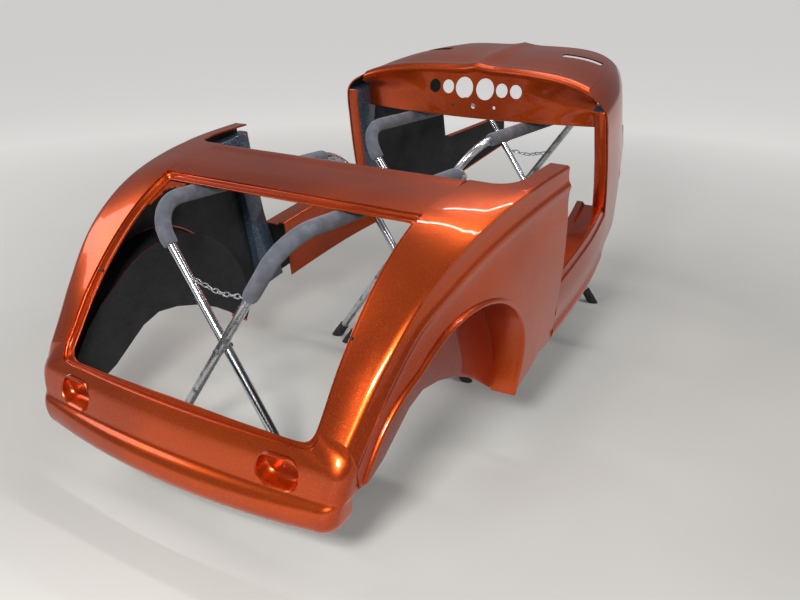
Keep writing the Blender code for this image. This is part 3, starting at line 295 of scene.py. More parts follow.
@dataclass(frozen=True)
class SpeckledResin(Finish):
    """Brushed tinted resin over glass mat on the door posts: glossy, blue-grey, full of pale specks."""

    base: str = "#26323F"
    haze: str = "#3B4957"
    speck: str = "#8C97A3"

    def dress(self, tree: Tree, place: Socket) -> Inputs:
        """Specks and streaks in glossy resin.

        Args:
            tree: Its nodes.
            place: The coordinates.
        Returns:
            Shader inputs.
        """
        # specks of glass and dust are 2 to 4 mm, in clusters of about 7 mm
        cells = add(tree, "ShaderNodeTexNoise",
                    {"Vector": place, "Scale": per_mm(7), "Detail": 4.0, "Roughness": 0.75})
        shade = add(tree, "ShaderNodeValToRGB", {"Fac": cells.outputs["Fac"]},
                    ((0.45, colour(self.base)), (0.60, colour(self.haze)), (0.72, colour(self.speck))))
        lumps = add(tree, "ShaderNodeTexNoise", {"Vector": place, "Scale": per_mm(25), "Detail": 3.0})
        bump = add(tree, "ShaderNodeBump",
                   {"Height": lumps.outputs["Fac"], "Strength": 0.7, "Distance": 0.003})
        return {"Base Color": shade.outputs[0], "Roughness": 0.28, "Coat Weight": 0.5,
                "Normal": bump.outputs[0]}


@dataclass(frozen=True)
class PlatedTube(Finish):
    """Electric-welded steel tube, bright zinc or chrome plated, scuffed by use.

    The wear value sets how much of the plating is dulled and stained.
    """

    wear: float = 0.2
    base: str = "#CDD0D4"
    stain: str = "#5B5E63"

    def dress(self, tree: Tree, place: Socket) -> Inputs:
        """Bright plating with dull and stained patches.

        Args:
            tree: Its nodes.
            place: The coordinates.
        Returns:
            Shader inputs.
        """
        # scuffs and stains are 20 to 60 mm long
        patch = add(tree, "ShaderNodeTexNoise",
                    {"Vector": place, "Scale": per_mm(45), "Detail": 5.0, "Roughness": 0.65})
        edge = 0.66 - 0.18 * self.wear
        mask = add(tree, "ShaderNodeValToRGB", {"Fac": patch.outputs["Fac"]},
                   ((edge, grey(0.0)), (edge + 0.16, grey(0.85))))
        shade = add(tree, "ShaderNodeMixRGB",
                    {"Fac": mask.outputs[0], "Color1": colour(self.base), "Color2": colour(self.stain)})
        fine = add(tree, "ShaderNodeTexNoise", {"Vector": place, "Scale": per_mm(3), "Detail": 2.0})
        low, high = 0.10 + 0.10 * self.wear, 0.22 + 0.25 * self.wear
        rough = add(tree, "ShaderNodeValToRGB", {"Fac": fine.outputs["Fac"]},
                    ((0.3, grey(low)), (0.7, grey(high))))
        worn = add(tree, "ShaderNodeMixRGB",
                   {"Fac": mask.outputs[0], "Color1": rough.outputs[0], "Color2": grey(0.6)})
        return {"Base Color": shade.outputs[0], "Metallic": 1.0, "Roughness": worn.outputs[0]}


@dataclass(frozen=True)
class ClosedCellFoam(Finish):
    """Extruded closed-cell polyethylene foam: slate grey, a fine skin of cells, scuffed pale."""

    base: str = "#53555E"
    scuff: str = "#6E717C"
    grime: str = "#44454D"

    def dress(self, tree: Tree, place: Socket) -> Inputs:
        """Cells with painted shade in their pits, scuffs and grime.

        Args:
            tree: Its nodes.
            place: The coordinates.
        Returns:
            Shader inputs.
        """
        # scuffs and grimy patches are about 38 mm
        wide = add(tree, "ShaderNodeTexNoise",
                   {"Vector": place, "Scale": per_mm(38), "Detail": 5.0, "Roughness": 0.6})
        shade = add(tree, "ShaderNodeValToRGB", {"Fac": wide.outputs["Fac"]},
                    ((0.22, colour(self.grime)), (0.5, colour(self.base)), (0.85, colour(self.scuff))))
        # cells are 1 mm, drawn at 2.5 mm so that the pitting shows; the colour is darkened towards the middle
        # of each pit as painted shade
        cells = add(tree, "ShaderNodeTexVoronoi", {"Vector": place, "Scale": per_mm(2.5)})
        pit_painted_shade = add(tree, "ShaderNodeValToRGB", {"Fac": cells.outputs["Distance"]},
                  ((0.0, grey(0.80)), (0.35, grey(1.0))))
        tinted = add(
            tree, "ShaderNodeMixRGB", {"Fac": 1.0, "Color1": shade.outputs[0], "Color2": pit_painted_shade.outputs[0]},
            blend_type="MULTIPLY")
        bump = add(tree, "ShaderNodeBump",
                   {"Height": cells.outputs["Distance"], "Strength": 0.45, "Distance": 0.0008})
        return {"Base Color": tinted.outputs[0], "Roughness": 0.78, "Sheen Weight": 0.15,
                "Normal": bump.outputs[0]}


@dataclass(frozen=True)
class ZincPlate(Finish):
    """Bright zinc electroplate on small steel pieces: cool grey, softly cloudy."""

    base: str = "#B9BDC2"
    dull: str = "#8F9398"

    def dress(self, tree: Tree, place: Socket) -> Inputs:
        """Cloudy plating.

        Args:
            tree: Its nodes.
            place: The coordinates.
        Returns:
            Shader inputs.
        """
        cloud = add(tree, "ShaderNodeTexNoise", {"Vector": place, "Scale": per_mm(4), "Detail": 3.0})
        shade = add(tree, "ShaderNodeValToRGB", {"Fac": cloud.outputs["Fac"]},
                    ((0.3, colour(self.dull)), (0.7, colour(self.base))))
        rough = add(tree, "ShaderNodeValToRGB", {"Fac": cloud.outputs["Fac"]},
                    ((0.3, grey(0.42)), (0.7, grey(0.24))))
        return {"Base Color": shade.outputs[0], "Metallic": 1.0, "Roughness": rough.outputs[0]}


@dataclass(frozen=True)
class MouldedRubber(Finish):
    """Moulded natural rubber: near black, dusty from use on the floor."""

    base: str = "#17181A"
    dust: str = "#4A4846"

    def dress(self, tree: Tree, place: Socket) -> Inputs:
        """Rubber with floor dust.

        Args:
            tree: Its nodes.
            place: The coordinates.
        Returns:
            Shader inputs.
        """
        # dust lies in spots of about 6 mm
        speck = add(tree, "ShaderNodeTexNoise", {"Vector": place, "Scale": per_mm(6), "Detail": 4.0})
        shade = add(tree, "ShaderNodeValToRGB", {"Fac": speck.outputs["Fac"]},
                    ((0.45, colour(self.base)), (0.8, colour(self.dust))))
        bump = add(tree, "ShaderNodeBump",
                   {"Height": speck.outputs["Fac"], "Strength": 0.3, "Distance": 0.0006})
        return {"Base Color": shade.outputs[0], "Roughness": 0.72, "Normal": bump.outputs[0]}


@dataclass(frozen=True)
class SealedConcrete(Finish):
    """Pale trowelled floor under the object, plain apart from a faint cloudiness."""

    base: str = "#C9C7C2"
    cloud: str = "#C5C3BE"
    pale: str = "#FAF8F4"
    # distances from the object at which the floor starts to turn pale and is palest, in metres
    near: float = 1.8
    far: float = 6.0
    lift: float = 0.42

    def dress(self, tree: Tree, place: Socket) -> Inputs:
        """Faint clouds in a plain pale floor, paler with distance so that the background stays pale.

        Args:
            tree: Its nodes.
            place: The floor's coordinates.
        Returns:
            Shader inputs.
        """
        clouds = add(tree, "ShaderNodeTexNoise", {"Vector": place, "Scale": per_mm(900), "Detail": 3.0})
        shade = add(tree, "ShaderNodeValToRGB", {"Fac": clouds.outputs["Fac"]},
                    ((0.3, colour(self.cloud)), (0.7, colour(self.base))))
        reach = add(tree, "ShaderNodeVectorMath", {0: place}, operation="LENGTH")
        fade = add(tree, "ShaderNodeMapRange",
                   {"Value": reach.outputs["Value"], "From Min": self.near, "From Max": self.far})
        mixed = add(tree, "ShaderNodeMixRGB",
                    {"Fac": fade.outputs[0], "Color1": shade.outputs[0], "Color2": colour(self.pale)})
        # the far floor is seen pale straight on, in gloss and through openings, and lights nothing
        path = add(tree, "ShaderNodeLightPath")
        straight = add(
            tree, "ShaderNodeMath",
            {0: path.outputs["Is Camera Ray"], 1: path.outputs["Is Transmission Ray"]}, operation="MAXIMUM")
        shown = add(tree, "ShaderNodeMath", {0: straight.outputs[0], 1: path.outputs["Is Glossy Ray"]},
                    operation="MAXIMUM")
        far = add(tree, "ShaderNodeMath", {0: shown.outputs[0], 1: fade.outputs[0]}, operation="MULTIPLY")
        lifted = add(tree, "ShaderNodeMath", {0: far.outputs[0], 1: self.lift}, operation="MULTIPLY")
        return {"Base Color": mixed.outputs[0], "Roughness": 0.8, "Emission Color": colour(self.pale),
                "Emission Strength": lifted.outputs[0]}


PAINT = MetallicLacquer("metallic_lacquer")
# a darker, duller copy of the lacquer for the recessed well walls: a thinner coat, and painted shade for the
# shade that falls in the wheel wells
PAINTED_SHADE_LACQUER = MetallicLacquer(
    "metallic_lacquer_thin", base="#9E2C0C", deep="#7C1E0A", glow=0.6, softness=0.42)
INSIDE = Gelcoat("black_gelcoat")
RESIN = SpeckledResin("speckled_resin")
BRIGHT_TUBE = PlatedTube("bright_plated_tube", wear=0.1)
WORN_TUBE = PlatedTube("worn_plated_tube", wear=0.75)
FOAM = ClosedCellFoam("closed_cell_foam")
ZINC = ZincPlate("zinc_plate")
RUBBER = MouldedRubber("moulded_rubber")
FLOOR = SealedConcrete("sealed_concrete")


# Curves and skins


def table(rows: Section, station: float, column: int) -> float:
    """Smooth value of one column of a table at a station.

    Args:
        rows: The table, with its stations in the first column.
        station: Where to read it.
        column: Which column.
    Returns:
        The value.
    """
    keys = [row[0] for row in rows]
    values = [row[column] for row in rows]
    place = min(max(station, keys[0]), keys[-1])
    right = next(i for i in range(1, len(keys)) if place <= keys[i])
    left = right - 1
    span = keys[right] - keys[left]
    slopes = []
    for i in (left, right):
        low, high = max(i - 1, 0), min(i + 1, len(keys) - 1)
        slopes.append((values[high] - values[low]) / (keys[high] - keys[low]))
    t = (place - keys[left]) / span
    return ((2 * t**3 - 3 * t**2 + 1) * values[left] + (t**3 - 2 * t**2 + t) * span * slopes[0]
            + (3 * t**2 - 2 * t**3) * values[right] + (t**3 - t**2) * span * slopes[1])


def spread(low: float, high: float, count: int) -> list[float]:
    """Evenly spaced values, both ends included."""
    return [low + (high - low) * i / (count - 1) for i in range(count)]


def arc(centre: tuple[float, float], radius: float, start: float, stop: float,
        count: int) -> list[tuple[float, float]]:
    """Points on an arc."""
    turns = [math.radians(a) for a in spread(start, stop, count)]
    return [(centre[0] + radius * math.cos(a), centre[1] + radius * math.sin(a)) for a in turns]


def refine(grid: np.ndarray, axis: int, pitch: float, sharp: Iterable[int] = (),
           least: int = 3) -> tuple[np.ndarray, np.ndarray]:
    """Put more points between a grid's own, on smooth curves through them.

    Args:
        grid: Points, rows by columns by three.
        axis: 0 to add rows, 1 to add columns.
        pitch: Wanted distance between points.
        sharp: Rows or columns at which the curve keeps a corner.
        least: Fewest steps between two of the grid's own points.
    Returns:
        The finer grid, and for each new row or column its place counted in the old ones.
    """
    points = np.moveaxis(np.asarray(grid, dtype=float), axis, 0)
    count = len(points)
    gaps = np.maximum(np.linalg.norm(np.diff(points, axis=0), axis=-1, keepdims=True), 1e-6)
    runs = np.diff(points, axis=0) / gaps
    before, after = np.empty_like(points), np.empty_like(points)
    corners = set(sharp) | {0, count - 1}
    for i in range(count):
        low, high = max(i - 1, 0), min(i, count - 2)
        if i in corners:
            before[i], after[i] = runs[low], runs[high]
        else:
            blend = (runs[low] * gaps[high] + runs[high] * gaps[low]) / (gaps[low] + gaps[high])
            before[i] = after[i] = blend
    lines, places = [], []
    for k in range(count - 1):
        steps = max(least, math.ceil(gaps[k].mean() / pitch))
        for s in range(steps):
            t = s / steps
            lines.append((2 * t**3 - 3 * t**2 + 1) * points[k] + (t**3 - 2 * t**2 + t) * gaps[k] * after[k]
                         + (3 * t**2 - 2 * t**3) * points[k + 1] + (t**3 - t**2) * gaps[k] * before[k + 1])
            places.append(k + t)
    lines.append(points[-1])
    places.append(count - 1.0)
    return np.moveaxis(np.array(lines), 0, axis), np.array(places)


@dataclass
class Form:
    """A mesh in the making."""

    points: np.ndarray
    faces: list[tuple[int, ...]]
    marks: list[int]

    def mirrored(self) -> "Form":
        """The same shape on the other side of the middle plane."""
        return Form(self.points * np.array((-1.0, 1.0, 1.0)), [f[::-1] for f in self.faces], list(self.marks))


@dataclass(frozen=True)
class Seams:
    """Where a skin meets a neighbour, and the axis across that seam, so that its wall is square to it."""

    ends: Optional[int] = None
    sides: Optional[int] = None
    first: Optional[int] = None


def skin(outer: np.ndarray, wall: float, outward: Place, seams: Seams = Seams(),
         pinned: Optional[dict[tuple[int, int], Vector]] = None, back: int = 1) -> Form:
    """Closed skin with the grid as its outer face.

    Args:
        outer: The outer face's points, rows by columns by three.
        wall: Thickness.
        outward: Rough direction that the outer face looks along.
        seams: The axes across its seams.
        pinned: Outward directions given for some points.
        back: Finish index of the inner face.
    Returns:
        The skin; its outer face and rim take finish 0.
    """
    normals = np.cross(np.gradient(outer, axis=0), np.gradient(outer, axis=1))
    middle = normals[outer.shape[0] // 2, outer.shape[1] // 2]
    if np.dot(middle, np.array(outward)) < 0:
        normals = -normals
    normals /= np.maximum(np.linalg.norm(normals, axis=2, keepdims=True), 1e-12)
    if seams.ends is not None:
        normals[[0, -1], :, seams.ends] = 0
    if seams.sides is not None:
        normals[:, [0, -1], seams.sides] = 0
    if seams.first is not None:
        normals[:, 0, seams.first] = 0
    for (i, j), normal in (pinned or {}).items():
        normals[i, j] = normal
    normals /= np.maximum(np.linalg.norm(normals, axis=2, keepdims=True), 1e-12)
    rows, columns = outer.shape[:2]
    points = np.concatenate((outer.reshape(-1, 3), (outer - normals * wall).reshape(-1, 3)))
    index = np.arange(rows * columns).reshape(rows, columns)
    quads = np.stack((index[:-1, :-1], index[1:, :-1], index[1:, 1:], index[:-1, 1:]), axis=-1).reshape(-1, 4)
    inner = (quads + rows * columns)[:, ::-1]
    faces = [tuple(q) for q in quads.tolist() + inner.tolist()]
    marks = [0] * len(quads) + [back] * len(quads)
    rim = list(index[:, 0]) + list(index[-1, 1:]) + list(index[-2::-1, -1]) + list(index[0, -2:0:-1])
    rim = [int(i) for i in rim]
    for a, b in zip(rim, rim[1:] + rim[:1]):
        faces.append((a, b, b + rows * columns, a + rows * columns))
        marks.append(0)
    return Form(points, faces, marks)


def rings(loops: Sequence[Sequence[Sequence[float]]], marks: Optional[Sequence[int]] = None,
          closed: bool = False) -> Form:
    """Join loops of the same count into a tube.

    Args:
        loops: The loops.
        marks: Finish index of each band between loops.
        closed: Whether the last loop joins the first; else both ends are filled.
    Returns:
        The form.
    """
    count = len(loops[0])
    points = np.array([p for loop in loops for p in loop], dtype=float)
    faces, kinds = [], []
    bands = len(loops) if closed else len(loops) - 1
    for k in range(bands):
        a, b = k * count, ((k + 1) % len(loops)) * count
        for i in range(count):
            j = (i + 1) % count
            faces.append((a + i, a + j, b + j, b + i))
            kinds.append(marks[k] if marks else 0)
    if not closed:
        last = (len(loops) - 1) * count
        faces += [tuple(range(count - 1, -1, -1)), tuple(range(last, last + count))]
        kinds += [marks[0], marks[-1]] if marks else [0, 0]
    return Form(points, faces, kinds)


def prism(outline: Sequence[tuple[float, float]], low: float, high: float, axis: Axis) -> Form:
    """Straight prism."""
    return rings([[axis.point(a, b, place) for a, b in outline] for place in (low, high)])


def rounded_box(centre: tuple[float, float], half: tuple[float, float], radius: float,
                turns: int = 6) -> list[tuple[float, float]]:
    """Outline of a rectangle with round corners.

    Args:
        centre: Its middle.
        half: Half its width and height.
        radius: Radius of its corners.
        turns: Points on each corner.
    Returns:
        The outline.
    """
    outline = []
    for sx, sy, start in ((1, 1, 0), (-1, 1, 90), (-1, -1, 180), (1, -1, 270)):
        middle = (centre[0] + sx * (half[0] - radius), centre[1] + sy * (half[1] - radius))
        outline += arc(middle, radius, start, start + 90, turns)
    return outline


def solid(form: Form) -> bpy.types.Mesh:
    """Mesh of a form with its doubles merged and its faces pointing out.

    Args:
        form: The form.
    Returns:
        The mesh.
    """
    mesh = bpy.data.meshes.new("form")
    mesh.from_pydata(form.points.tolist(), [], form.faces)
    mesh.polygons.foreach_set("material_index", form.marks)
    work = bmesh.new()
    work.from_mesh(mesh)
    bmesh.ops.remove_doubles(work, verts=work.verts, dist=1e-6)
    bmesh.ops.recalc_face_normals(work, faces=work.faces)
    if work.calc_volume(signed=True) < 0:
        bmesh.ops.reverse_faces(work, faces=work.faces)
    work.to_mesh(mesh)
    work.free()
    return mesh


@dataclass
class Bench:
    """Turns forms into finished pieces of the object."""

    place: Matrix
    made: list[str] = field(default_factory=list)

    def piece(self, name: str, form: Form | bpy.types.Mesh, finishes: Sequence[Finish],
              replaces: Sequence[str] = (), slot: Optional[str] = None, cutters: Sequence[Form] = (),
              edge: float = 0.0, smooth: float = 32.0,
              place: Optional[Matrix] = None) -> bpy.types.Object:
        """Make one piece.

        Args:
            name: The piece's name.
            form: Its form, or a finished mesh.
            finishes: Its finishes, by index.
            replaces: Nodes that it stands for.
            slot: Name of its material slot; not used.
            cutters: Closed forms taken out of it.
            edge: Width of the rounding on its sharp edges.
            smooth: Largest angle in degrees that is shaded smooth.
            place: Where it goes, if not on the bench's own place.
        Returns:
            The object.
        """
        mesh = form if isinstance(form, bpy.types.Mesh) else solid(form)
        mesh.name = name
        for index, finish in enumerate(finishes):
            if index < len(mesh.materials):
                mesh.materials[index] = finish.material()
            else:
                mesh.materials.append(finish.material())
        obj = bpy.data.objects.new(name, mesh)
        bpy.context.scene.collection.objects.link(obj)
        if edge:
            bevel = obj.modifiers.new("edge", "BEVEL")
            bevel.width = edge
            bevel.segments = 2
            bevel.limit_method = "ANGLE"
            bevel.angle_limit = math.radians(50)
        tools = []
        for cutter in cutters:
            tool = bpy.data.objects.new(name + "_cut", solid(cutter))
            bpy.context.scene.collection.objects.link(tool)
            modifier = obj.modifiers.new("cut", "BOOLEAN")
            modifier.operation = "DIFFERENCE"
            modifier.solver = "EXACT"
            modifier.object = tool
            tools.append(tool)
        if obj.modifiers:
            bpy.context.view_layer.update()
            shaped = obj.evaluated_get(bpy.context.evaluated_depsgraph_get())
            obj.data = bpy.data.meshes.new_from_object(shaped)
            obj.modifiers.clear()
        for tool in tools:
            bpy.data.objects.remove(tool, do_unlink=True)
        obj.data.name = name
        obj.data.transform(self.place if place is None else place)
        obj.data.shade_smooth()
        obj.data.set_sharp_from_angle(angle=math.radians(smooth))
        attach(obj, ROOT)
        if replaces:
            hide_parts(*replaces)
        self.made.append(name)
        log.info("%s: %d faces", name, len(obj.data.polygons))
        return obj

    def pair(self, name: str, form: Form, finishes: Sequence[Finish], slot: str, cutters: Sequence[Form] = (),
             edge: float = 0.0) -> None:
        """Make a right-hand piece and its mirror image, each standing for the node of its name.

        Args:
            name: The pair's name, without the side.
            form: The right-hand piece's form.
            finishes: Its finishes, by index.
            slot: Name of its material slot.
            cutters: Closed forms taken out of it.
            edge: Width of the rounding on its sharp edges.
        """
        for side in Side:
            shaped = form if side is Side.RIGHT else form.mirrored()
            tools = cutters if side is Side.RIGHT else [c.mirrored() for c in cutters]
            node = f"{name}_{side.label}"
            self.piece(node + "_skin", shaped, finishes, [node], slot, tools, edge)

    def copy_of(self, node: str) -> bpy.types.Mesh:
        """Merged copy of a node's mesh, in the row frame.

        Args:
            node: The node's name.
        Returns:
            The mesh, with its flat faces joined again.
        """
        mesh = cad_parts[node].data.copy()
        work = bmesh.new()
        work.from_mesh(mesh)
        bmesh.ops.remove_doubles(work, verts=work.verts, dist=1e-5)
        bmesh.ops.dissolve_limit(work, angle_limit=math.radians(1.0), verts=work.verts, edges=work.edges)
        for face in work.faces:
            face.material_index = 0
        work.to_mesh(mesh)
        work.free()
        return mesh


# The moulded shell


@dataclass(frozen=True)
class ShellShape:
    """Plan, profiles and sections of the moulded shell, in its own frame.

    Its Y runs along the rocker line and its Z is zero at the rocker's lower edge.
    """

    pitch: float = math.radians(10.0)
    datum: Place = (0.0, 0.1372, 0.380)
    wall: float = 0.006
    liner: float = 0.004
    bond: float = 0.0008
    tail_seam: float = -1.440
    trunk_front: float = -0.860
    cockpit_rear: float = -0.580
    door_rear: float = -0.290
    door_front: float = 0.350
    cowl_front: float = 0.940
    apron_front: float = 1.360
    trunk_half: float = 0.522
    trunk_corner: float = 0.030
    horn_inner: float = 0.668
    horn_corner: float = 0.090
    flank_bulge: float = 0.012
    flank_ease: float = 0.300
    # the quarter's skin reaches this far below the rocker line, up to this far behind the door
    foot_drop: float = 0.075
    foot_end: float = 0.160
    # shares of the way from the inner edge to the belt, and from the bead to the foot
    deck_shares: tuple[float, ...] = (0.0, 0.25, 0.5, 0.75, 0.92)
    side_shares: tuple[float, ...] = (0.2, 0.4, 0.6, 0.8, 1.0)
    # belt to bead: share of the way across, offset outward, share of the way down, offset down
    bead_steps: Section = (
        (0.0, 0.0, 0.0, 0.004), (0.4, -0.002, 0.35, 0.0), (1.0, -0.003, 0.75, 0.0), (1.0, 0.004, 1.0, 0.0),
        (1.0, -0.001, 1.0, 0.018),
    )
    # stations of the quarter: how many beside the trunk opening, shares of the horn's corner, and two more
    trunk_stations: int = 14
    horn_shares: tuple[float, ...] = (0.03, 0.12, 0.3, 0.6, 1.0)
    horn_stations: tuple[float, ...] = (-0.40, -0.34)
    # station, height of the rail beside the trunk opening
    deck_profile: Section = (
        (-1.500, 0.268), (-1.455, 0.330), (-1.400, 0.388), (-1.306, 0.484), (-1.157, 0.598), (-1.012, 0.678),
        (-0.860, 0.727), (-0.720, 0.732), (-0.580, 0.724), (-0.420, 0.708), (-0.250, 0.686))
    # station, half-width at the belt, belt height, half-width at the bead, bead height
    shoulder: Section = (
        (-1.500, 0.604, 0.240, 0.620, 0.185), (-1.455, 0.606, 0.310, 0.627, 0.262),
        (-1.375, 0.618, 0.392, 0.637, 0.348), (-1.300, 0.632, 0.468, 0.647, 0.420),
        (-1.157, 0.660, 0.588, 0.670, 0.532), (-1.012, 0.684, 0.660, 0.688, 0.575),
        (-0.860, 0.702, 0.700, 0.704, 0.606), (-0.670, 0.719, 0.714, 0.722, 0.625),
        (-0.480, 0.729, 0.706, 0.732, 0.625), (-0.250, 0.735, 0.684, 0.738, 0.614),
    )
    # station, half-width just above the rocker, half-width at the rocker's lower edge
    flank_rows: Section = (
        (-1.500, 0.620, 0.610), (-1.200, 0.655, 0.640), (-0.900, 0.683, 0.655), (-0.600, 0.690, 0.660),
        (-0.350, 0.690, 0.663), (-0.090, 0.680, 0.657), (0.136, 0.662, 0.640), (0.350, 0.628, 0.604),
        (0.490, 0.600, 0.572), (0.740, 0.546, 0.522), (0.940, 0.478, 0.455), (1.150, 0.412, 0.395),
        (1.360, 0.345, 0.335),
    )

    @property
    def place(self) -> Matrix:
        """From the shell's own frame to the row frame."""
        return Matrix.Translation(self.datum) @ Matrix.Rotation(self.pitch, 4, "X")

    def rail(self, y: float) -> float:
        """Height of the rail beside the trunk opening."""
        return table(self.deck_profile, y, 1)

    def deck(self, x: float, y: float) -> float:
        """Height of the deck between the belts.

        Args:
            x: Place across the body.
            y: Station.
        Returns:
            The height.
        """
        rail, belt, half = self.rail(y), table(self.shoulder, y, 2), table(self.shoulder, y, 1)
        reach = max(0.0, (abs(x) - self.trunk_half) / max(half - self.trunk_half, 0.001))
        return rail + (belt - rail) * min(reach, 1.2) ** 2

    def flank(self, y: float, z: float) -> float:
        """Half-width of the side below the bead.

        Args:
            y: Station.
            z: Height.
        Returns:
            The half-width.
        """
        share = min(max(z / table(self.shoulder, y, 4), -0.2), 1.0)
        low = table(self.flank_rows, y, 2)
        ease = min(max((y - self.tail_seam) / self.flank_ease, 0.0), 1.0)
        bulge = self.flank_bulge * ease * math.sin(math.pi * min(max(share, 0.0), 1.0))
        return low + (table(self.shoulder, y, 3) - low) * share + bulge

    def horn_edge(self, y: float) -> float:
        """Half-width of the cockpit opening's edge behind the doors.

        Args:
            y: Station.
        Returns:
            The half-width.
        """
        rise = (y - self.cockpit_rear) / self.horn_corner
        if rise >= 1:
            return self.horn_inner
        return self.horn_inner - self.horn_corner * (1 - math.sqrt(max(0.0, 1 - (1 - rise) ** 2)))

    @property
    def bridge_stations(self) -> list[float]:
        """Stations of the deck panel ahead of the trunk opening."""
        return spread(self.trunk_front, self.cockpit_rear - 0.008, 5) + [self.cockpit_rear]

    @property
    def quarter_stations(self) -> list[float]:
        """Stations of the quarter, tail to door.

        Returns:
            The stations.
        """
        horn = [self.cockpit_rear + self.horn_corner * share for share in self.horn_shares]
        beside = spread(self.tail_seam + SEAM, self.trunk_front - self.trunk_corner, self.trunk_stations)
        return beside + self.bridge_stations + horn + list(self.horn_stations) + [self.door_rear]

    def hoop(self, y: float) -> list[Place]:
        """One hoop of the quarter, from its inner edge over the belt and down the side.

        Args:
            y: Station.
        Returns:
            The hoop's points.
        """
        half, belt = table(self.shoulder, y, 1), table(self.shoulder, y, 2)
        wide, bead = table(self.shoulder, y, 3), table(self.shoulder, y, 4)
        if y < self.trunk_front:
            start = self.trunk_half
        elif y <= self.cockpit_rear:
            start = self.trunk_half + SEAM
        else:
            start = self.horn_edge(y)
        row = []
        for share in self.deck_shares:
            x = start + (half - start) * share
            row.append((x, y, self.deck(x, y)))
        for across, out, down, drop in self.bead_steps:
            row.append((half + (wide - half) * across + out, y, belt + (bead - belt) * down - drop))
        below = row[-1][2]
        foot = -self.foot_drop if y < self.door_rear - self.foot_end else 0.0
        for share in self.side_shares:
            z = below * (1 - share) + foot * share
            row.append((self.flank(y, z), y, z))
        return row


@dataclass
class RearQuarters:
    """The two quarter skins with their wheel arches, rolled lips and well walls."""

    shape: ShellShape
    bench: Bench
    arch_centre: tuple[float, float] = (-0.950, 0.090)
    arch_radius: float = 0.395
    # height of the arch's front tip, and angle at which its circle ends behind the wheel
    arch_tip: float = -0.060
    arch_stop: float = 122.0
    arch_points: int = 22
    roll: float = 0.010
    band: float = 0.030
    well_half: float = 0.572
    well_centre: tuple[float, float] = (-0.970, 0.090)
    well_drop: float = 0.022
    well_lap: float = 0.012
    # station, height of the wall's lower edge
    well_edge: Section = (
        (-1.440, 0.140), (-1.398, 0.129), (-1.336, 0.112), (-1.255, 0.134), (-1.157, 0.183), (-1.100, 0.211),
        (-1.020, 0.224), (-0.934, 0.200), (-0.835, 0.153), (-0.750, 0.095), (-0.690, 0.040), (-0.640, -0.010),
        (-0.605, -0.045),
    )
    # lower edge of the skin behind the arch
    arch_rear: Section = ((-1.252, 0.380), (-1.330, 0.322), (-1.392, 0.256), (-1.428, 0.206), (-1.452, 0.190))
    # rolled lip from the skin's cut edge inward: across and drop, in rolls
    lip: Section = ((-0.3, 0.0), (0.4, 0.15), (0.85, 0.5), (1.0, 1.0), (0.7, 1.5), (-0.6, 1.7))
    # closes the arch's cutter behind, below and ahead of the arch, and how far it runs across the body
    cut_closing: Section = ((-1.60, 0.10), (-1.60, -0.20), (-0.20, -0.20), (-0.34, -0.001), (-0.50, -0.030))
    cut_run: tuple[float, float] = (0.40, 0.90)
    # wanted distances between points, along and round the skin, round the arch, and on the lip
    skin_pitch: tuple[float, float] = (0.018, 0.014)
    edge_pitch: float = 0.010
    lip_pitch: tuple[float, float] = (0.015, 0.008)
    wall_edge: float = 0.0012

    def outline(self) -> list[tuple[float, float]]:
        """Edge of the skin round the wheel, from the front tip over the top to the tail.

        Returns:
            The points.
        """
        start = math.degrees(math.asin((self.arch_tip - self.arch_centre[1]) / self.arch_radius))
        return (arc(self.arch_centre, self.arch_radius, start, self.arch_stop, self.arch_points)
                + list(self.arch_rear))

    def build(self) -> None:
        """Make skins, lips and walls."""
        shape = self.shape
        stations = shape.quarter_stations
        rows = np.array([shape.hoop(y) for y in stations])
        corner = next(i for i, y in enumerate(stations) if y > shape.cockpit_rear + 1e-9)
        rows, _ = refine(rows, 0, self.skin_pitch[0], sharp=(corner - 1, corner), least=2)
        rows, _ = refine(rows, 1, self.skin_pitch[1])
        line = np.array([(y, z, 0.0) for y, z in self.outline()])
        edge = [tuple(p) for p in refine(line[:, None], 0, self.edge_pitch)[0][:, 0, :2]]
        cutter = prism(edge + list(self.cut_closing), *self.cut_run, Axis.X)
        self.bench.pair("quarter", skin(rows, shape.wall, (0.5, 0.0, 1.0), Seams(ends=1, first=0)),
                        (PAINT, INSIDE), "shell_paint", [cutter])
        self.lips()
        # the walls' outsides wear the darker lacquer, with painted shade for the recessed wells
        self.bench.pair("well_wall", self.wall(), (PAINTED_SHADE_LACQUER, INSIDE), "well_paint", edge=self.wall_edge)

    def lips(self) -> None:
        """Make the rolled lips and the bands that run in to the well walls."""
        rows = []
        for y, z in self.outline()[:-1]:
            away = Vector((y - self.well_centre[0], z - self.well_centre[1])).normalized()
            lip = self.shape.flank(y, z)
            section = [(lip + across * self.roll, GAP + drop * self.roll) for across, drop in self.lip]
            section += [(self.well_half + self.band, self.well_drop - GAP),
                        (self.well_half + GAP, self.well_drop)]
            rows.append([(x, y - away.x * inset, z - away.y * inset) for x, inset in section])
        grid, _ = refine(np.array(rows), 0, self.lip_pitch[0])
        grid, _ = refine(grid, 1, self.lip_pitch[1])
        self.bench.pair("arch_flange", skin(grid, self.shape.liner, (0.0, 0.0, -1.0), Seams(first=0)),
                        (PAINT, INSIDE), "shell_paint")

    def wall(self) -> Form:
        """Flat inner wall behind the wheel, in the darker lacquer with painted shade outside and black
        inside.

        Returns:
            The wall's form.
        """
        inset = self.well_drop - self.well_lap
        top = []
        for y, z in self.outline():
            away = Vector((y - self.well_centre[0], z - self.well_centre[1])).normalized()
            if z > self.well_edge[-1][1]:
                top.append((y - away.x * inset, z - away.y * inset))
        form = prism(top + list(self.well_edge), self.well_half - self.shape.liner, self.well_half, Axis.X)
        # the end cap that faces the middle of the body
        form.marks[-2] = 1
        return form


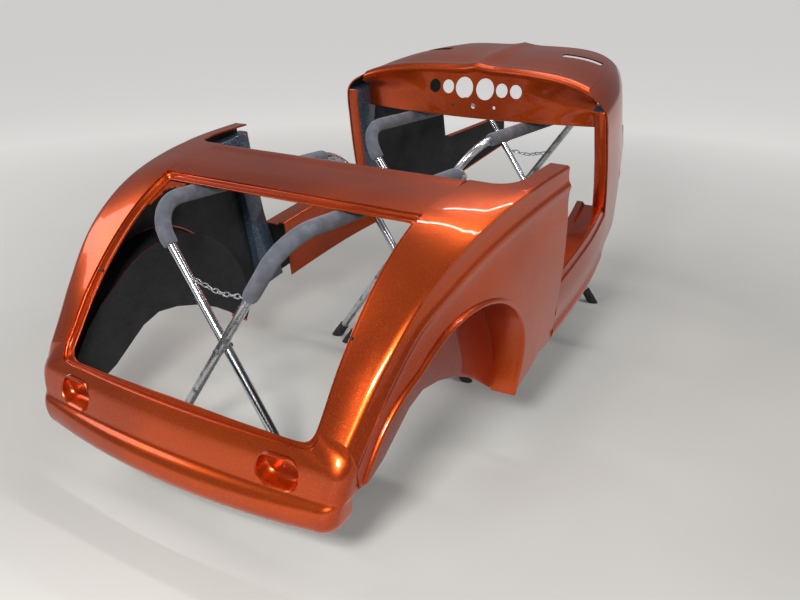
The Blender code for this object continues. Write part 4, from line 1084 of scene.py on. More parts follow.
@dataclass
class DeckAndTail:
    """Deck panel, trunk gutter, filler gusset, tail panel and lamp pockets."""

    shape: ShellShape
    bench: Bench
    trunk_rear_mid: float = -1.473
    trunk_bow: float = 0.028
    edge_round: float = 0.008
    return_depth: float = 0.022
    tail_corner: float = 0.055
    columns: int = 7
    bridge_columns: int = 13
    # wanted distances between points, along and across
    bridge_pitch: tuple[float, float] = (0.012, 0.030)
    tail_pitch: tuple[float, float] = (0.012, 0.020)
    gutter_pitch: float = 0.020
    edge_turns: tuple[float, ...] = (30, 60)
    hoop_picks: tuple[int, ...] = (0, 2, 5, 6, 8)
    pan_top: float = 0.180
    pan_end: float = -1.455
    # tail panel rows: height, setback of the middle, bow of the row, half-width
    tail_rows: Section = (
        (0.262, -1.528, 0.032, 0.626), (0.215, -1.548, 0.034, 0.621), (0.187, -1.558, 0.036, 0.616),
        (0.176, -1.578, 0.044, 0.610), (0.160, -1.592, 0.050, 0.606), (0.138, -1.600, 0.054, 0.602),
        (0.113, -1.601, 0.056, 0.597), (0.093, -1.592, 0.056, 0.589), (0.080, -1.572, 0.056, 0.578),
        (0.077, -1.548, 0.056, 0.572),
    )
    pocket_centre: tuple[float, float] = (0.416, 0.238)
    pocket_size: tuple[float, float] = (0.150, 0.094)
    pocket_depth: float = 0.030
    pocket_draft: float = 0.004
    pocket_points: int = 20
    # stations between which the pockets' cutters run
    cut_run: tuple[float, float] = (-1.80, -1.455)
    # offset and radius of the holes in a pocket's floor
    pocket_holes: Section = ((-0.030, 0.003), (0.0, 0.005), (0.030, 0.003))
    gutter_lap: float = 0.014
    gutter_depth: float = 0.017
    gutter_reach: float = 0.026
    corner_passes: int = 10
    # half-width and station of the lid bumpers, and radius and height of each ring of one
    bumper_place: tuple[float, float] = (0.5085, -1.24)
    bumper: Section = ((0.0052, 0.0), (0.0058, 0.0015), (0.0052, 0.0050), (0.0036, 0.0068), (0.0015, 0.0072))
    filler_along: float = 0.112
    filler_across: float = 0.080
    filler_band: float = 0.012
    filler_drop: float = 0.0215
    filler_inset: float = 0.0265
    filler_thick: float = 0.005
    filler_hole: tuple[float, float] = (0.050, 0.026)
    filler_turn: float = 0.7071    # sine and cosine of the hole's 45 degree turn
    # shares of the gusset's width and length at which its hole lies
    filler_centre: tuple[float, float] = (0.42, 0.36)

    def build(self) -> None:
        """Make every piece of the deck and the tail."""
        self.bridge()
        self.tail()
        self.pockets()
        self.gutter()
        self.filler()
        self.bumpers()

    def bridge(self) -> None:
        """Deck panel between the trunk opening and the cockpit, with its turned-down front edge."""
        shape = self.shape
        across = spread(SEAM - shape.trunk_half, shape.trunk_half - SEAM, self.bridge_columns)
        rows = [[(x, y, shape.deck(x, y)) for x in across] for y in shape.bridge_stations]
        rows[-1] = [(x, y, z - self.edge_round * 0.6) for x, y, z in rows[-1]]
        front = shape.cockpit_rear
        rows.append([(x, front, shape.deck(x, front) - self.return_depth) for x in across])
        grid, _ = refine(np.array(rows), 0, self.bridge_pitch[0])
        grid, _ = refine(grid, 1, self.bridge_pitch[1], least=2)
        self.bench.piece("deck_bridge_skin", skin(grid, shape.wall, (0, 0, 1), Seams(sides=0)),
                         (PAINT, INSIDE), ["deck_bridge"], "shell_paint")

    def tail_point(self, row: tuple[float, ...], x: float) -> Place:
        """Point of a tail row at a half-width, with the row's bow and its rounded end.

        Args:
            row: The tail row.
            x: Place across the body.
        Returns:
            The point.
        """
        height, setback, bow, half = row
        limit = half - self.tail_corner
        y = setback + bow * (min(abs(x), limit) / half) ** 2
        if abs(x) > limit:
            turn = (abs(x) - limit) / self.tail_corner
            y += self.tail_corner * (1 - math.sqrt(max(0.0, 1 - turn**2)))
        return (x, y, height)

    def tail_row(self, row: tuple[float, ...]) -> list[Place]:
        """Right half of one tail row, from the middle round the corner to the quarter's edge.

        Args:
            row: The tail row.
        Returns:
            The points.
        """
        height, _, _, half = row
        limit = half - self.tail_corner
        turns = spread(0, 90, len(self.edge_turns) + len(self.hoop_picks))[1:]
        corner = [limit + self.tail_corner * math.sin(math.radians(a)) for a in turns]
        points = [self.tail_point(row, x) for x in spread(0, limit, self.columns) + corner]
        end = self.shape.tail_seam - SEAM if height > self.pan_top else self.pan_end
        return points + [(half + 0.001, end, height)]

    def trunk_rear(self, x: float) -> float:
        """Station of the trunk opening's rear edge, bowed back at the middle."""
        return self.trunk_rear_mid - self.trunk_bow * (1 - (x / self.shape.trunk_half) ** 2)

    def tail_top(self) -> list[Place]:
        """Right half of the tail's upper edge: the trunk opening, then the quarter's last hoop.

        Returns:
            The points.
        """
        shape = self.shape
        limit = shape.trunk_half - shape.trunk_corner
        level = shape.rail(self.trunk_rear_mid)
        points = [(x, self.trunk_rear(x), level) for x in spread(0, limit, self.columns)]
        for turn in self.edge_turns:
            angle = math.radians(turn)
            x = limit + shape.trunk_corner * math.sin(angle)
            y = self.trunk_rear(limit) + (shape.tail_seam - self.trunk_rear(limit)) * (1 - math.cos(angle))
            points.append((x, y, shape.rail(y)))
        hoop = shape.hoop(shape.tail_seam)
        return points + [(hoop[i][0], shape.tail_seam - SEAM, hoop[i][2]) for i in self.hoop_picks]

    def hoop_normal(self, index: int) -> Vector:
        """Outward direction, square to the station, at one point of the quarter's last hoop.

        Args:
            index: Which point of the hoop.
        Returns:
            The direction.
        """
        hoop = self.shape.hoop(self.shape.tail_seam)
        low, high = hoop[max(index - 1, 0)], hoop[index + 1]
        return Vector((low[2] - high[2], 0, high[0] - low[0])).normalized()

    def tail(self) -> None:
        """Tail panel and roll pan, with the lamp pockets' openings."""
        rows = []
        for half_row in [self.tail_top()] + [self.tail_row(row) for row in self.tail_rows]:
            rows.append([(-x, y, z) for x, y, z in half_row[:0:-1]] + half_row)
        last = len(rows[0]) - 1
        grid, _ = refine(np.array(rows), 0, self.tail_pitch[0])
        grid, places = refine(grid, 1, self.tail_pitch[1])
        picks = [self.hoop_normal(index) for index in self.hoop_picks[::-1]]
        pinned = {}
        for column, place in enumerate(places):
            for offset, sign in ((last - place, 1), (place, -1)):
                if offset <= len(picks) - 1:
                    low = int(min(offset, len(picks) - 2))
                    normal = picks[low].lerp(picks[low + 1], offset - low).normalized()
                    pinned[(0, column)] = (sign * normal.x, 0.0, normal.z)
        cutters = [prism(self.pocket_outline(side, 0.0), *self.cut_run, Axis.Y) for side in Side]
        self.bench.piece("tail_panel_skin", skin(grid, self.shape.wall, (0, -1, 0), Seams(sides=1), pinned),
                         (PAINT, INSIDE), ["tail_panel"], "shell_paint", cutters)

    def pocket_outline(self, side: Side, grow: float) -> list[tuple[float, float]]:
        """Oblong outline of a lamp pocket, seen from behind.

        Args:
            side: Which side.
            grow: How far the outline stands out from the pocket's own.
        Returns:
            The outline.
        """
        half_w, half_h = self.pocket_size[0] / 2 + grow, self.pocket_size[1] / 2 + grow
        straight = half_w - half_h
        count = self.pocket_points
        points = arc((straight, 0), half_h, -90, 90, count) + arc((-straight, 0), half_h, 90, 270, count)
        return [(side.value * self.pocket_centre[0] + x, self.pocket_centre[1] + z) for x, z in points]

    def pocket_face(self, x: float, z: float, back: float) -> float:
        """Place on the tail's face at a height, moved forward into the body.

        Args:
            x: Place across the body.
            z: Height.
            back: How far ahead of the face.
        Returns:
            The station.
        """
        for low, high in zip(self.tail_rows[1:], self.tail_rows[:-1]):
            if low[0] <= z <= high[0]:
                share = (z - low[0]) / (high[0] - low[0])
                return self.tail_point(low, x)[1] * (1 - share) + self.tail_point(high, x)[1] * share + back
        return self.tail_point(self.tail_rows[0], x)[1] + back

    def pocket_place(self, x: float, z: float, back: float) -> float:
        """Place on a pocket's wall, between the tail's face and the pocket's upright floor.

        Args:
            x: Place across the body.
            z: Height.
            back: Depth below the face, up to the pocket's own.
        Returns:
            The station.
        """
        face = self.pocket_face(x, z, 0.0)
        floor = self.pocket_face(*self.pocket_centre, self.pocket_depth)
        return face + (floor - face) * back / self.pocket_depth

    def pockets(self) -> None:
        """Moulded lamp pockets with round edges, let into the tail panel."""
        deep, thick, draft = self.pocket_depth, self.shape.liner, self.pocket_draft
        # outline's growth and depth of each loop, from the hidden floor out and back in to the seen floor
        steps = ((-0.040, deep + thick), (-0.020, deep + thick), (-draft - 0.004, deep + thick),
                 (-draft, deep + thick - 0.004), (-GAP, 0.004), (-GAP, 0.0), (-GAP - 0.002, -0.0010),
                 (-GAP - thick, 0.0015), (-thick - 0.0008, 0.006), (-draft - thick, deep - 0.010),
                 (-draft - thick - 0.002, deep - 0.004), (-draft - thick - 0.007, deep),
                 (-0.022, deep), (-0.040, deep))
        marks = [1] * 2 + [0] * 11
        for side in Side:
            loops = []
            for grow, back in steps:
                outline = self.pocket_outline(side, grow)
                loops.append([(x, self.pocket_place(x, z, back), z) for x, z in outline])
            cutters = []
            for offset, radius in self.pocket_holes:
                middle = (side.value * self.pocket_centre[0] + offset, self.pocket_centre[1] + offset * 0.1)
                cutters.append(prism(arc(middle, radius, 0, 345, 24), *self.cut_run, Axis.Y))
            node = f"lamp_pocket_{side.label}"
            self.bench.piece(node + "_cup", rings(loops, marks), (PAINT, INSIDE), [node], "shell_paint",
                             cutters)

    def trunk_path(self) -> list[tuple[Vector, Vector]]:
        """Right half of the trunk opening's edge, with the direction that leads away from it.

        Returns:
            Each point with its direction.
        """
        shape = self.shape
        limit = shape.trunk_half - shape.trunk_corner
        points = []
        for x in spread(0, limit, self.columns)[:-1]:
            points.append(((x, shape.trunk_front, shape.deck(x, shape.trunk_front)), (0, 1)))
        middle = shape.trunk_front - shape.trunk_corner
        for x, y in arc((limit, middle), shape.trunk_corner, 90, 0, 5):
            points.append(((x, y, shape.rail(y)), (x - limit, y - middle)))
        for y in shape.quarter_stations[::-1]:
            if shape.tail_seam + shape.trunk_corner < y < middle:
                points.append(((shape.trunk_half, y, shape.rail(y)), (1, 0)))
        path = []
        for (x, y, z), (across, along) in points:
            slope = (shape.rail(y + 0.005) - shape.rail(y - 0.005)) / 0.01
            path.append((Vector((x, y, z)), Vector((across, along, along * slope)).normalized()))
        corner = Vector((shape.trunk_half, shape.tail_seam, shape.rail(shape.tail_seam)))
        path.append((corner, Vector((1, 0, 0))))
        top, below = self.tail_top(), self.tail_row(self.tail_rows[0])
        for index in range(self.columns + len(self.edge_turns) - 1, -1, -1):
            away = Vector(below[index]) - Vector(top[index])
            path.append((Vector(top[index]), away.normalized()))
        return path

    def gutter(self) -> None:
        """Stepped ledge round the trunk opening with its two low ridges."""
        half = self.trunk_path()
        whole = half + [(Vector((-p.x, p.y, p.z)), Vector((-d.x, d.y, d.z))) for p, d in half[-2:0:-1]]
        lapped = np.array([tuple(p) + tuple(d) for p, d in whole[-3:] + whole + whole[:3]])
        fine, places = refine(lapped[:, None, :3], 0, self.gutter_pitch)
        keep = (places >= 3) & (places < 3 + len(whole))
        points = [Vector(row) for row in fine[keep][:, 0]]
        turns = [np.interp(places[keep], np.arange(len(lapped)), lapped[:, k]) for k in (3, 4, 5)]
        aways = [Vector(row).normalized() for row in zip(*turns)]
        top = -self.shape.wall - self.shape.bond
        ledge, thick = -self.gutter_depth, self.shape.liner
        ridge = ledge + 0.0016
        # distance in from the opening's edge, and height from it: wall, ledge and two ridges, then underside
        section = [
            (-self.gutter_lap, top - 0.002), (-0.002, top), (0.0015, top - 0.0005), (0.0030, top - 0.002),
            (0.0038, ledge + 0.0015), (0.0050, ledge), (0.0090, ledge), (0.0100, ridge), (0.0118, ridge),
            (0.0128, ledge), (0.0195, ledge), (0.0205, ridge), (0.0225, ridge), (0.0235, ledge),
            (self.gutter_reach - 0.001, ledge), (self.gutter_reach, ledge - 0.001)]
        seen = len(section)
        section += [(self.gutter_reach, ledge - thick), (-0.001, ledge - thick),
                    (-0.002, top - thick - 0.001), (-self.gutter_lap, top - thick - 0.002)]
        loops, count = [], len(points)
        for i, (point, away) in enumerate(zip(points, aways)):
            tangent = (points[(i + 1) % count] - points[i - 1]).normalized()
            normal = tangent.cross(away).normalized()
            normal = normal if normal.z > 0 else -normal
            loops.append([point - away * s + normal * h for s, h in section])
        form = rings(self.eased(np.array(loops), [s for s, _ in section]), closed=True)
        size = len(section)
        form.marks = [0 if n % size < seen else 1 for n in range(len(form.faces))]
        self.bench.piece("deck_gutter_ledge", form, (PAINT, INSIDE), ["deck_gutter"], "shell_paint",
                         smooth=48.0)

    def eased(self, loops: np.ndarray, reaches: Sequence[float]) -> np.ndarray:
        """Round off the ledge's lines at the opening's corners, the more the further in they lie.

        Args:
            loops: The gutter's loops, along the opening by round the section by three.
            reaches: How far in each point of the section lies.
        Returns:
            The loops with their inner lines rounded.
        """
        for column, reach in enumerate(reaches):
            for _ in range(round(self.corner_passes * max(reach - 0.001, 0.0) / self.gutter_reach)):
                line = loops[:, column]
                loops[:, column] = line / 2 + (np.roll(line, 1, axis=0) + np.roll(line, -1, axis=0)) / 4
        return loops

    def filler(self) -> None:
        """Gusset with an oval hole in the front left corner of the trunk opening."""
        shape = self.shape
        corner = (self.filler_inset - shape.trunk_half, shape.trunk_front - self.filler_inset)
        outline = [corner, (corner[0], corner[1] - self.filler_along)]
        for turn in spread(0, 90, 19):
            angle = math.radians(turn)
            across = self.filler_band + (self.filler_across - self.filler_band) * (1 - math.cos(angle))
            along = (self.filler_along - self.filler_band) * math.sin(angle)
            outline.append((corner[0] + across, corner[1] - self.filler_along + along))
        outline.append((corner[0] + self.filler_across, corner[1]))
        loops = []
        for depth in (self.filler_drop, self.filler_drop + self.filler_thick):
            loops.append([(x, y, shape.deck(x, y) - depth) for x, y in outline])
        centre = (corner[0] + self.filler_across * self.filler_centre[0],
                  corner[1] - self.filler_along * self.filler_centre[1])
        hole = []
        for turn in range(0, 360, 10):
            u = self.filler_hole[0] / 2 * math.cos(math.radians(turn))
            v = self.filler_hole[1] / 2 * math.sin(math.radians(turn))
            hole.append((centre[0] + (u - v) * self.filler_turn, centre[1] + (u + v) * self.filler_turn))
        self.bench.piece("filler_gusset", rings(loops), (PAINT,), ["filler_flange"], "shell_paint",
                         [prism(hole, 0.5, 0.9, Axis.Z)])

    def bumpers(self) -> None:
        """Small rubber lid bumpers pushed into the gutter's ledge, one on each side."""
        shape, (across, along) = self.shape, self.bumper_place
        slope = (shape.rail(along + 0.01) - shape.rail(along - 0.01)) / 0.02
        tilt = Matrix.Rotation(math.atan(slope), 4, "X")
        for side in Side:
            level = shape.rail(along) - self.gutter_depth + shape.bond
            seat = Matrix.Translation((side.value * across, along, level))
            loops = [[(x, y, height) for x, y in arc((0.0, 0.0), radius, 0, 342, 20)]
                     for radius, height in self.bumper]
            self.bench.piece(f"lid_bumper_{side.label}", rings(loops), (RUBBER,),
                             place=shape.place @ seat @ tilt)


@dataclass
class DoorOpenings:
    """Sills and door posts."""

    shape: ShellShape
    bench: Bench
    sill_top: float = 0.250
    lip: float = 0.012
    depth: float = 0.104
    step: float = 0.070
    stations: int = 9
    pitch: float = 0.030
    post_edge: float = 0.005
    # least share of a face's direction along Y at which it is the painted jamb
    jamb_facing: float = 0.8

    def sill_row(self, y: float) -> list[Place]:
        """Section of the sill: rocker face with its beads, door step, inner lip and inner wall.

        Args:
            y: Station.
        Returns:
            The section's points.
        """
        low, high = table(self.shape.flank_rows, y, 2), table(self.shape.flank_rows, y, 1)
        inner, step, top = low - self.depth, low - self.step, self.sill_top
        lip = top + self.lip
        return [
            (low, y, 0.0), (low + 0.005, y, 0.012), (low + 0.010, y, 0.022), (low + 0.011, y, 0.036),
            (low + 0.006, y, 0.046), (low + 0.006, y, 0.062), (high - 0.004, y, 0.110),
            (high, y, 0.150), (high - 0.001, y, top - 0.060), (high - 0.002, y, top - 0.034),
            (high - 0.009, y, top - 0.030), (high - 0.010, y, top - 0.020),
            (high - 0.013, y, top - 0.006), (high - 0.018, y, top - 0.001), (high - 0.026, y, top),
            (step + 0.003, y, top), (step - 0.001, y, top + 0.003), (step - 0.004, y, lip - 0.002),
            (step - 0.006, y, lip), (inner + 0.004, y, lip), (inner + 0.001, y, lip - 0.002),
            (inner, y, lip - 0.006), (inner, y, 0.120), (inner + 0.006, y, 0.010),
        ]

    def build(self) -> None:
        """Make the sills and dress the posts."""
        shape = self.shape
        places = spread(shape.door_rear + GAP, shape.door_front - GAP, self.stations)
        grid, _ = refine(np.array([self.sill_row(y) for y in places]), 0, self.pitch)
        self.bench.pair("sill", skin(grid, shape.wall, (1, 0, 0.3), Seams(ends=1)), (PAINT, INSIDE),
                        "shell_paint")
        for post in Post:
            for side in Side:
                node = f"{post.label}_post_{side.label}"
                mesh = self.bench.copy_of(node)
                for face in mesh.polygons:
                    face.material_index = 0 if face.normal.y * post.value > self.jamb_facing else 1
                self.bench.piece(node + "_block", mesh, (PAINT, RESIN), [node], "post_resin",
                                 edge=self.post_edge, place=Matrix.Identity(4))


@dataclass
class CowlAndDash:
    """Cowl top and sides, dash panel, and the aprons ahead of the cowl."""

    shape: ShellShape
    bench: Bench
    seam: float = 0.86
    row_count: int = 9
    crown_power: float = 5.0
    crown_ease: float = 0.45
    bulge: float = 0.014
    ridge: float = 0.012
    ridge_half: float = 0.100
    lip_centre: float = 0.457
    lip_sweep: float = 0.078
    lip_roll: float = 0.010
    lip_depth: float = 0.016
    # inner and outer end, rear and front edge, and corner radius of a slot
    slot: tuple[float, float, float, float] = (0.275, 0.455, 0.705, 0.760)
    slot_corner: float = 0.008
    # wanted distances between points: the top, along and round the sides, the dash and the aprons
    top_pitch: float = 0.020
    side_pitch: tuple[float, float] = (0.025, 0.020)
    dash_pitch: float = 0.015
    apron_pitch: float = 0.030
    top_columns: int = 41
    dash_columns: int = 33
    apron_stations: int = 7
    # shares of the half-width above the shoulder, and of the shoulder's height below it
    over_shares: tuple[float, ...] = (0.90, 0.94, 0.97, 0.99)
    under_shares: tuple[float, ...] = (1.0, 0.85, 0.7, 0.5, 0.3, 0.15, 0.05, 0.0)
    dash_bottom: float = 0.556
    dash_half: float = 0.560
    dash_clear: float = 0.0010
    dash_centre: float = 0.393
    dash_end: float = 0.436
    dash_lean: float = 0.29
    dash_foot: float = 0.022
    dash_tuck: float = 0.012
    post_width: float = 0.058
    post_top: float = 0.650
    rises: tuple[float, ...] = (0.0, 0.008, 0.054, 0.094, 0.160)
    gauge_height: float = 0.674
    switch_height: float = 0.604
    # offset and radius
    gauges: Section = ((0.050, 0.043), (0.129, 0.028), (0.195, 0.028))
    switches: Section = ((-0.100, 0.007), (0.0, 0.011), (0.100, 0.007))
    # station, half-width at the shoulder, shoulder height, centre height of the cowl
    rows: Section = (
        (0.340, 0.628, 0.612, 0.762), (0.450, 0.614, 0.612, 0.770), (0.550, 0.598, 0.606, 0.772),
        (0.650, 0.574, 0.598, 0.772), (0.800, 0.524, 0.586, 0.762), (0.940, 0.470, 0.572, 0.744),
    )

    def half(self, y: float, z: float) -> float:
        """Half-width of the cowl's side, and of its top above the shoulder.

        Args:
            y: Station.
            z: Height.
        Returns:
            The half-width.
        """
        wide, shoulder = table(self.rows, y, 1), table(self.rows, y, 2)
        if z > shoulder:
            rise = min((z - shoulder) / (table(self.rows, y, 3) - self.ridge - shoulder), 1.0)
            return wide * (1 - rise ** (1 / self.crown_ease)) ** (1 / self.crown_power)
        low = table(self.shape.flank_rows, y, 2)
        share = max(z / shoulder, 0.0)
        return low + (wide - low) * share + self.bulge * math.sin(math.pi * share)

    def height(self, x: float, y: float) -> float:
        """Height of the cowl's top.

        Args:
            x: Place across the body.
            y: Station.
        Returns:
            The height.
        """
        wide, shoulder, centre = (table(self.rows, y, column) for column in (1, 2, 3))
        crown = (1 - min(abs(x) / wide, 1.0) ** self.crown_power) ** self.crown_ease
        ridge = self.ridge * max(0.0, 1 - abs(x) / self.ridge_half) ** 2
        return shoulder + (centre - self.ridge - shoulder) * crown + ridge

    def stations(self, share: float) -> list[float]:
        """Stations of the cowl's rows at a share of its half-width, from the lip to the front."""
        lip = self.lip_centre - self.lip_sweep * (share / self.seam) ** 2
        return spread(lip, self.shape.cowl_front, self.row_count)

    def point(self, share: float, station: float, trim: float) -> Place:
        """Point of the cowl's top; trim moves it outwards."""
        x = table(self.rows, station, 1) * share + trim
        return (x, station, self.height(x, station))

    def build(self) -> None:
        """Make cowl, dash and aprons."""
        self.top()
        self.sides()
        self.dash()
        self.aprons()

    def top(self) -> None:
        """Cowl top with its rolled rear lip and two slots."""
        shares = spread(-self.seam, self.seam, self.top_columns)
        rows = []
        for index in range(self.row_count):
            row = []
            for share in shares:
                trim = -SEAM if share == shares[-1] else SEAM if share == shares[0] else 0.0
                row.append(self.point(share, self.stations(share)[index], trim))
            rows.append(row)
        lip = [(x, y - self.lip_roll, z - self.lip_roll) for x, y, z in rows[0]]
        under = [(x, y + 0.001, z - self.lip_depth) for x, y, z in lip]
        grid, _ = refine(np.array([under, lip] + rows), 0, self.top_pitch)
        inner, outer, rear, front = self.slot
        cutters = []
        for side in Side:
            centre = (side.value * (inner + outer) / 2, (rear + front) / 2)
            outline = rounded_box(centre, ((outer - inner) / 2, (front - rear) / 2), self.slot_corner)
            cutters.append(prism(outline, 0.60, 0.90, Axis.Z))
        self.bench.piece("cowl_top_skin", skin(grid, self.shape.wall, (0, 0, 1), Seams(sides=0)),
                         (PAINT, INSIDE), ["cowl_top"], "shell_paint", cutters)

    def sides(self) -> None:
        """Cowl sides, from the seam over the shoulder to the rocker."""
        grid = []
        for y in [self.shape.door_front] + self.stations(self.seam):
            shoulder = table(self.rows, y, 2)
            row = [self.point(self.seam, y, SEAM)]
            row += [self.point(share, y, 0.0) for share in self.over_shares]
            row += [(self.half(y, shoulder * share), y, shoulder * share) for share in self.under_shares]
            grid.append(row)
        fine, _ = refine(np.array(grid), 0, self.side_pitch[0])
        fine, _ = refine(fine, 1, self.side_pitch[1])
        self.bench.pair("cowl_side", skin(fine, self.shape.wall, (1, 0, 0), Seams(ends=1, first=0)),
                        (PAINT, INSIDE), "shell_paint")

    def dash_line(self, x: float) -> float:
        """Station of the dash's foot, bowed back at the middle."""
        return self.dash_centre + (self.dash_end - self.dash_centre) * (x / self.dash_half) ** 2

    def lip_seat(self, x: float) -> Place:
        """Where the dash meets the inside of the cowl's rolled lip at a half-width.

        Args:
            x: Place across the body.
        Returns:
            The point.
        """
        share = abs(x) / table(self.rows, self.lip_centre - self.lip_sweep, 1)
        station = self.lip_centre - self.lip_sweep * (share / self.seam) ** 2
        level = self.height(x, station) - self.lip_roll - self.lip_depth
        return (x, station - self.lip_roll + self.shape.wall + 0.002, level + 0.004)

    def dash(self) -> None:
        """Leaning dash panel with gauge and switch holes, its foot turned forward."""
        rows = []
        for rise, forward in ((0.0, self.dash_foot),) + tuple((rise, 0.0) for rise in self.rises):
            row = []
            station = self.dash_end + forward + self.shape.liner
            level = self.dash_bottom + min(rise, self.post_top - self.dash_bottom)
            half = self.half(station, level) - self.post_width - self.dash_clear
            for share in spread(-1, 1, self.dash_columns):
                x = half * share
                y = self.dash_line(x) + self.dash_lean * rise * (1 - share**2)
                roof = self.height(x, max(y, self.rows[0][0])) - self.shape.wall - self.dash_tuck
                z = min(self.dash_bottom + rise, roof - (self.rises[-1] - rise) * 0.3)
                row.append((x, y + forward, z))
            rows.append(row)
        tops = [self.lip_seat(x) for x, _, _ in rows[-1]]
        rows[-1] = [tuple(a + (b - a) * 0.55 for a, b in zip(low, top)) for low, top in zip(rows[-2], tops)]
        rows.append(tops)
        grid, _ = refine(np.array(rows), 0, self.dash_pitch)
        holes = [(side.value * x, self.gauge_height, r) for x, r in self.gauges for side in Side]
        holes += [(x, self.switch_height, r) for x, r in self.switches]
        cutters = [prism(arc((x, z), r, 0, 352.5, 48), 0.30, 0.60, Axis.Y) for x, z, r in holes]
        self.bench.piece("dash_panel_skin", skin(grid, self.shape.liner, (0, -1, 0)), (PAINT, INSIDE),
                         ["dash_panel"], "shell_paint", cutters)

    def aprons(self) -> None:
        """Low side rails running forward from the cowl."""
        shape = self.shape
        rows = []
        for y in spread(shape.cowl_front + GAP, shape.apron_front, self.apron_stations):
            low, high = table(shape.flank_rows, y, 2), table(shape.flank_rows, y, 1)
            foot = 0.010 + 0.070 * (y - shape.cowl_front) / (shape.apron_front - shape.cowl_front)
            rows.append([(low - 0.030, y, foot + 0.004), (low - 0.006, y, foot + 0.001),
                         (low, y, foot + 0.004), (low + 0.010, y, foot + 0.050), (high, y, 0.150),
                         (high - 0.003, y, 0.228), (high - 0.006, y, 0.236), (high - 0.012, y, 0.240),
                         (high - 0.030, y, 0.240)])
        grid, _ = refine(np.array(rows), 0, self.apron_pitch)
        self.bench.pair("apron", skin(grid, shape.wall, (1, 0, 0), Seams(ends=1)), (PAINT, INSIDE),
                        "shell_paint")


# Folding stands


def carried_frames(path: Sequence[Vector]) -> list[tuple[Vector, Vector]]:
    """Side and up directions along a path, carried out from its middle, where the side is upright.

    Args:
        path: The path.
    Returns:
        A pair of directions for each point.
    """
    count = len(path)
    runs = [(path[min(i + 1, count - 1)] - path[max(i - 1, 0)]).normalized() for i in range(count)]
    sides: list[Vector] = [Vector((0, 0, 1))] * count
    for order in (range(count // 2, count), range(count // 2, -1, -1)):
        side = Vector((0, 0, 1))
        for i in order:
            side = (side - runs[i] * side.dot(runs[i])).normalized()
            sides[i] = side
    return [(side, run.cross(side)) for side, run in zip(sides, runs)]


def tube_loops(path: Sequence[Vector], radius: Callable[[int, float], float],
               count: int) -> list[list[Vector]]:
    """Loops of points round a path.

    Args:
        path: The path.
        radius: Radius at a place along the path and an angle round it.
        count: Points in a loop.
    Returns:
        The loops.
    """
    loops = []
    for i, (point, (side, up)) in enumerate(zip(path, carried_frames(path))):
        loop = []
        for k in range(count):
            angle = 2 * math.pi * k / count
            loop.append(point + (side * math.cos(angle) + up * math.sin(angle)) * radius(i, angle))
        loops.append(loop)
    return loops


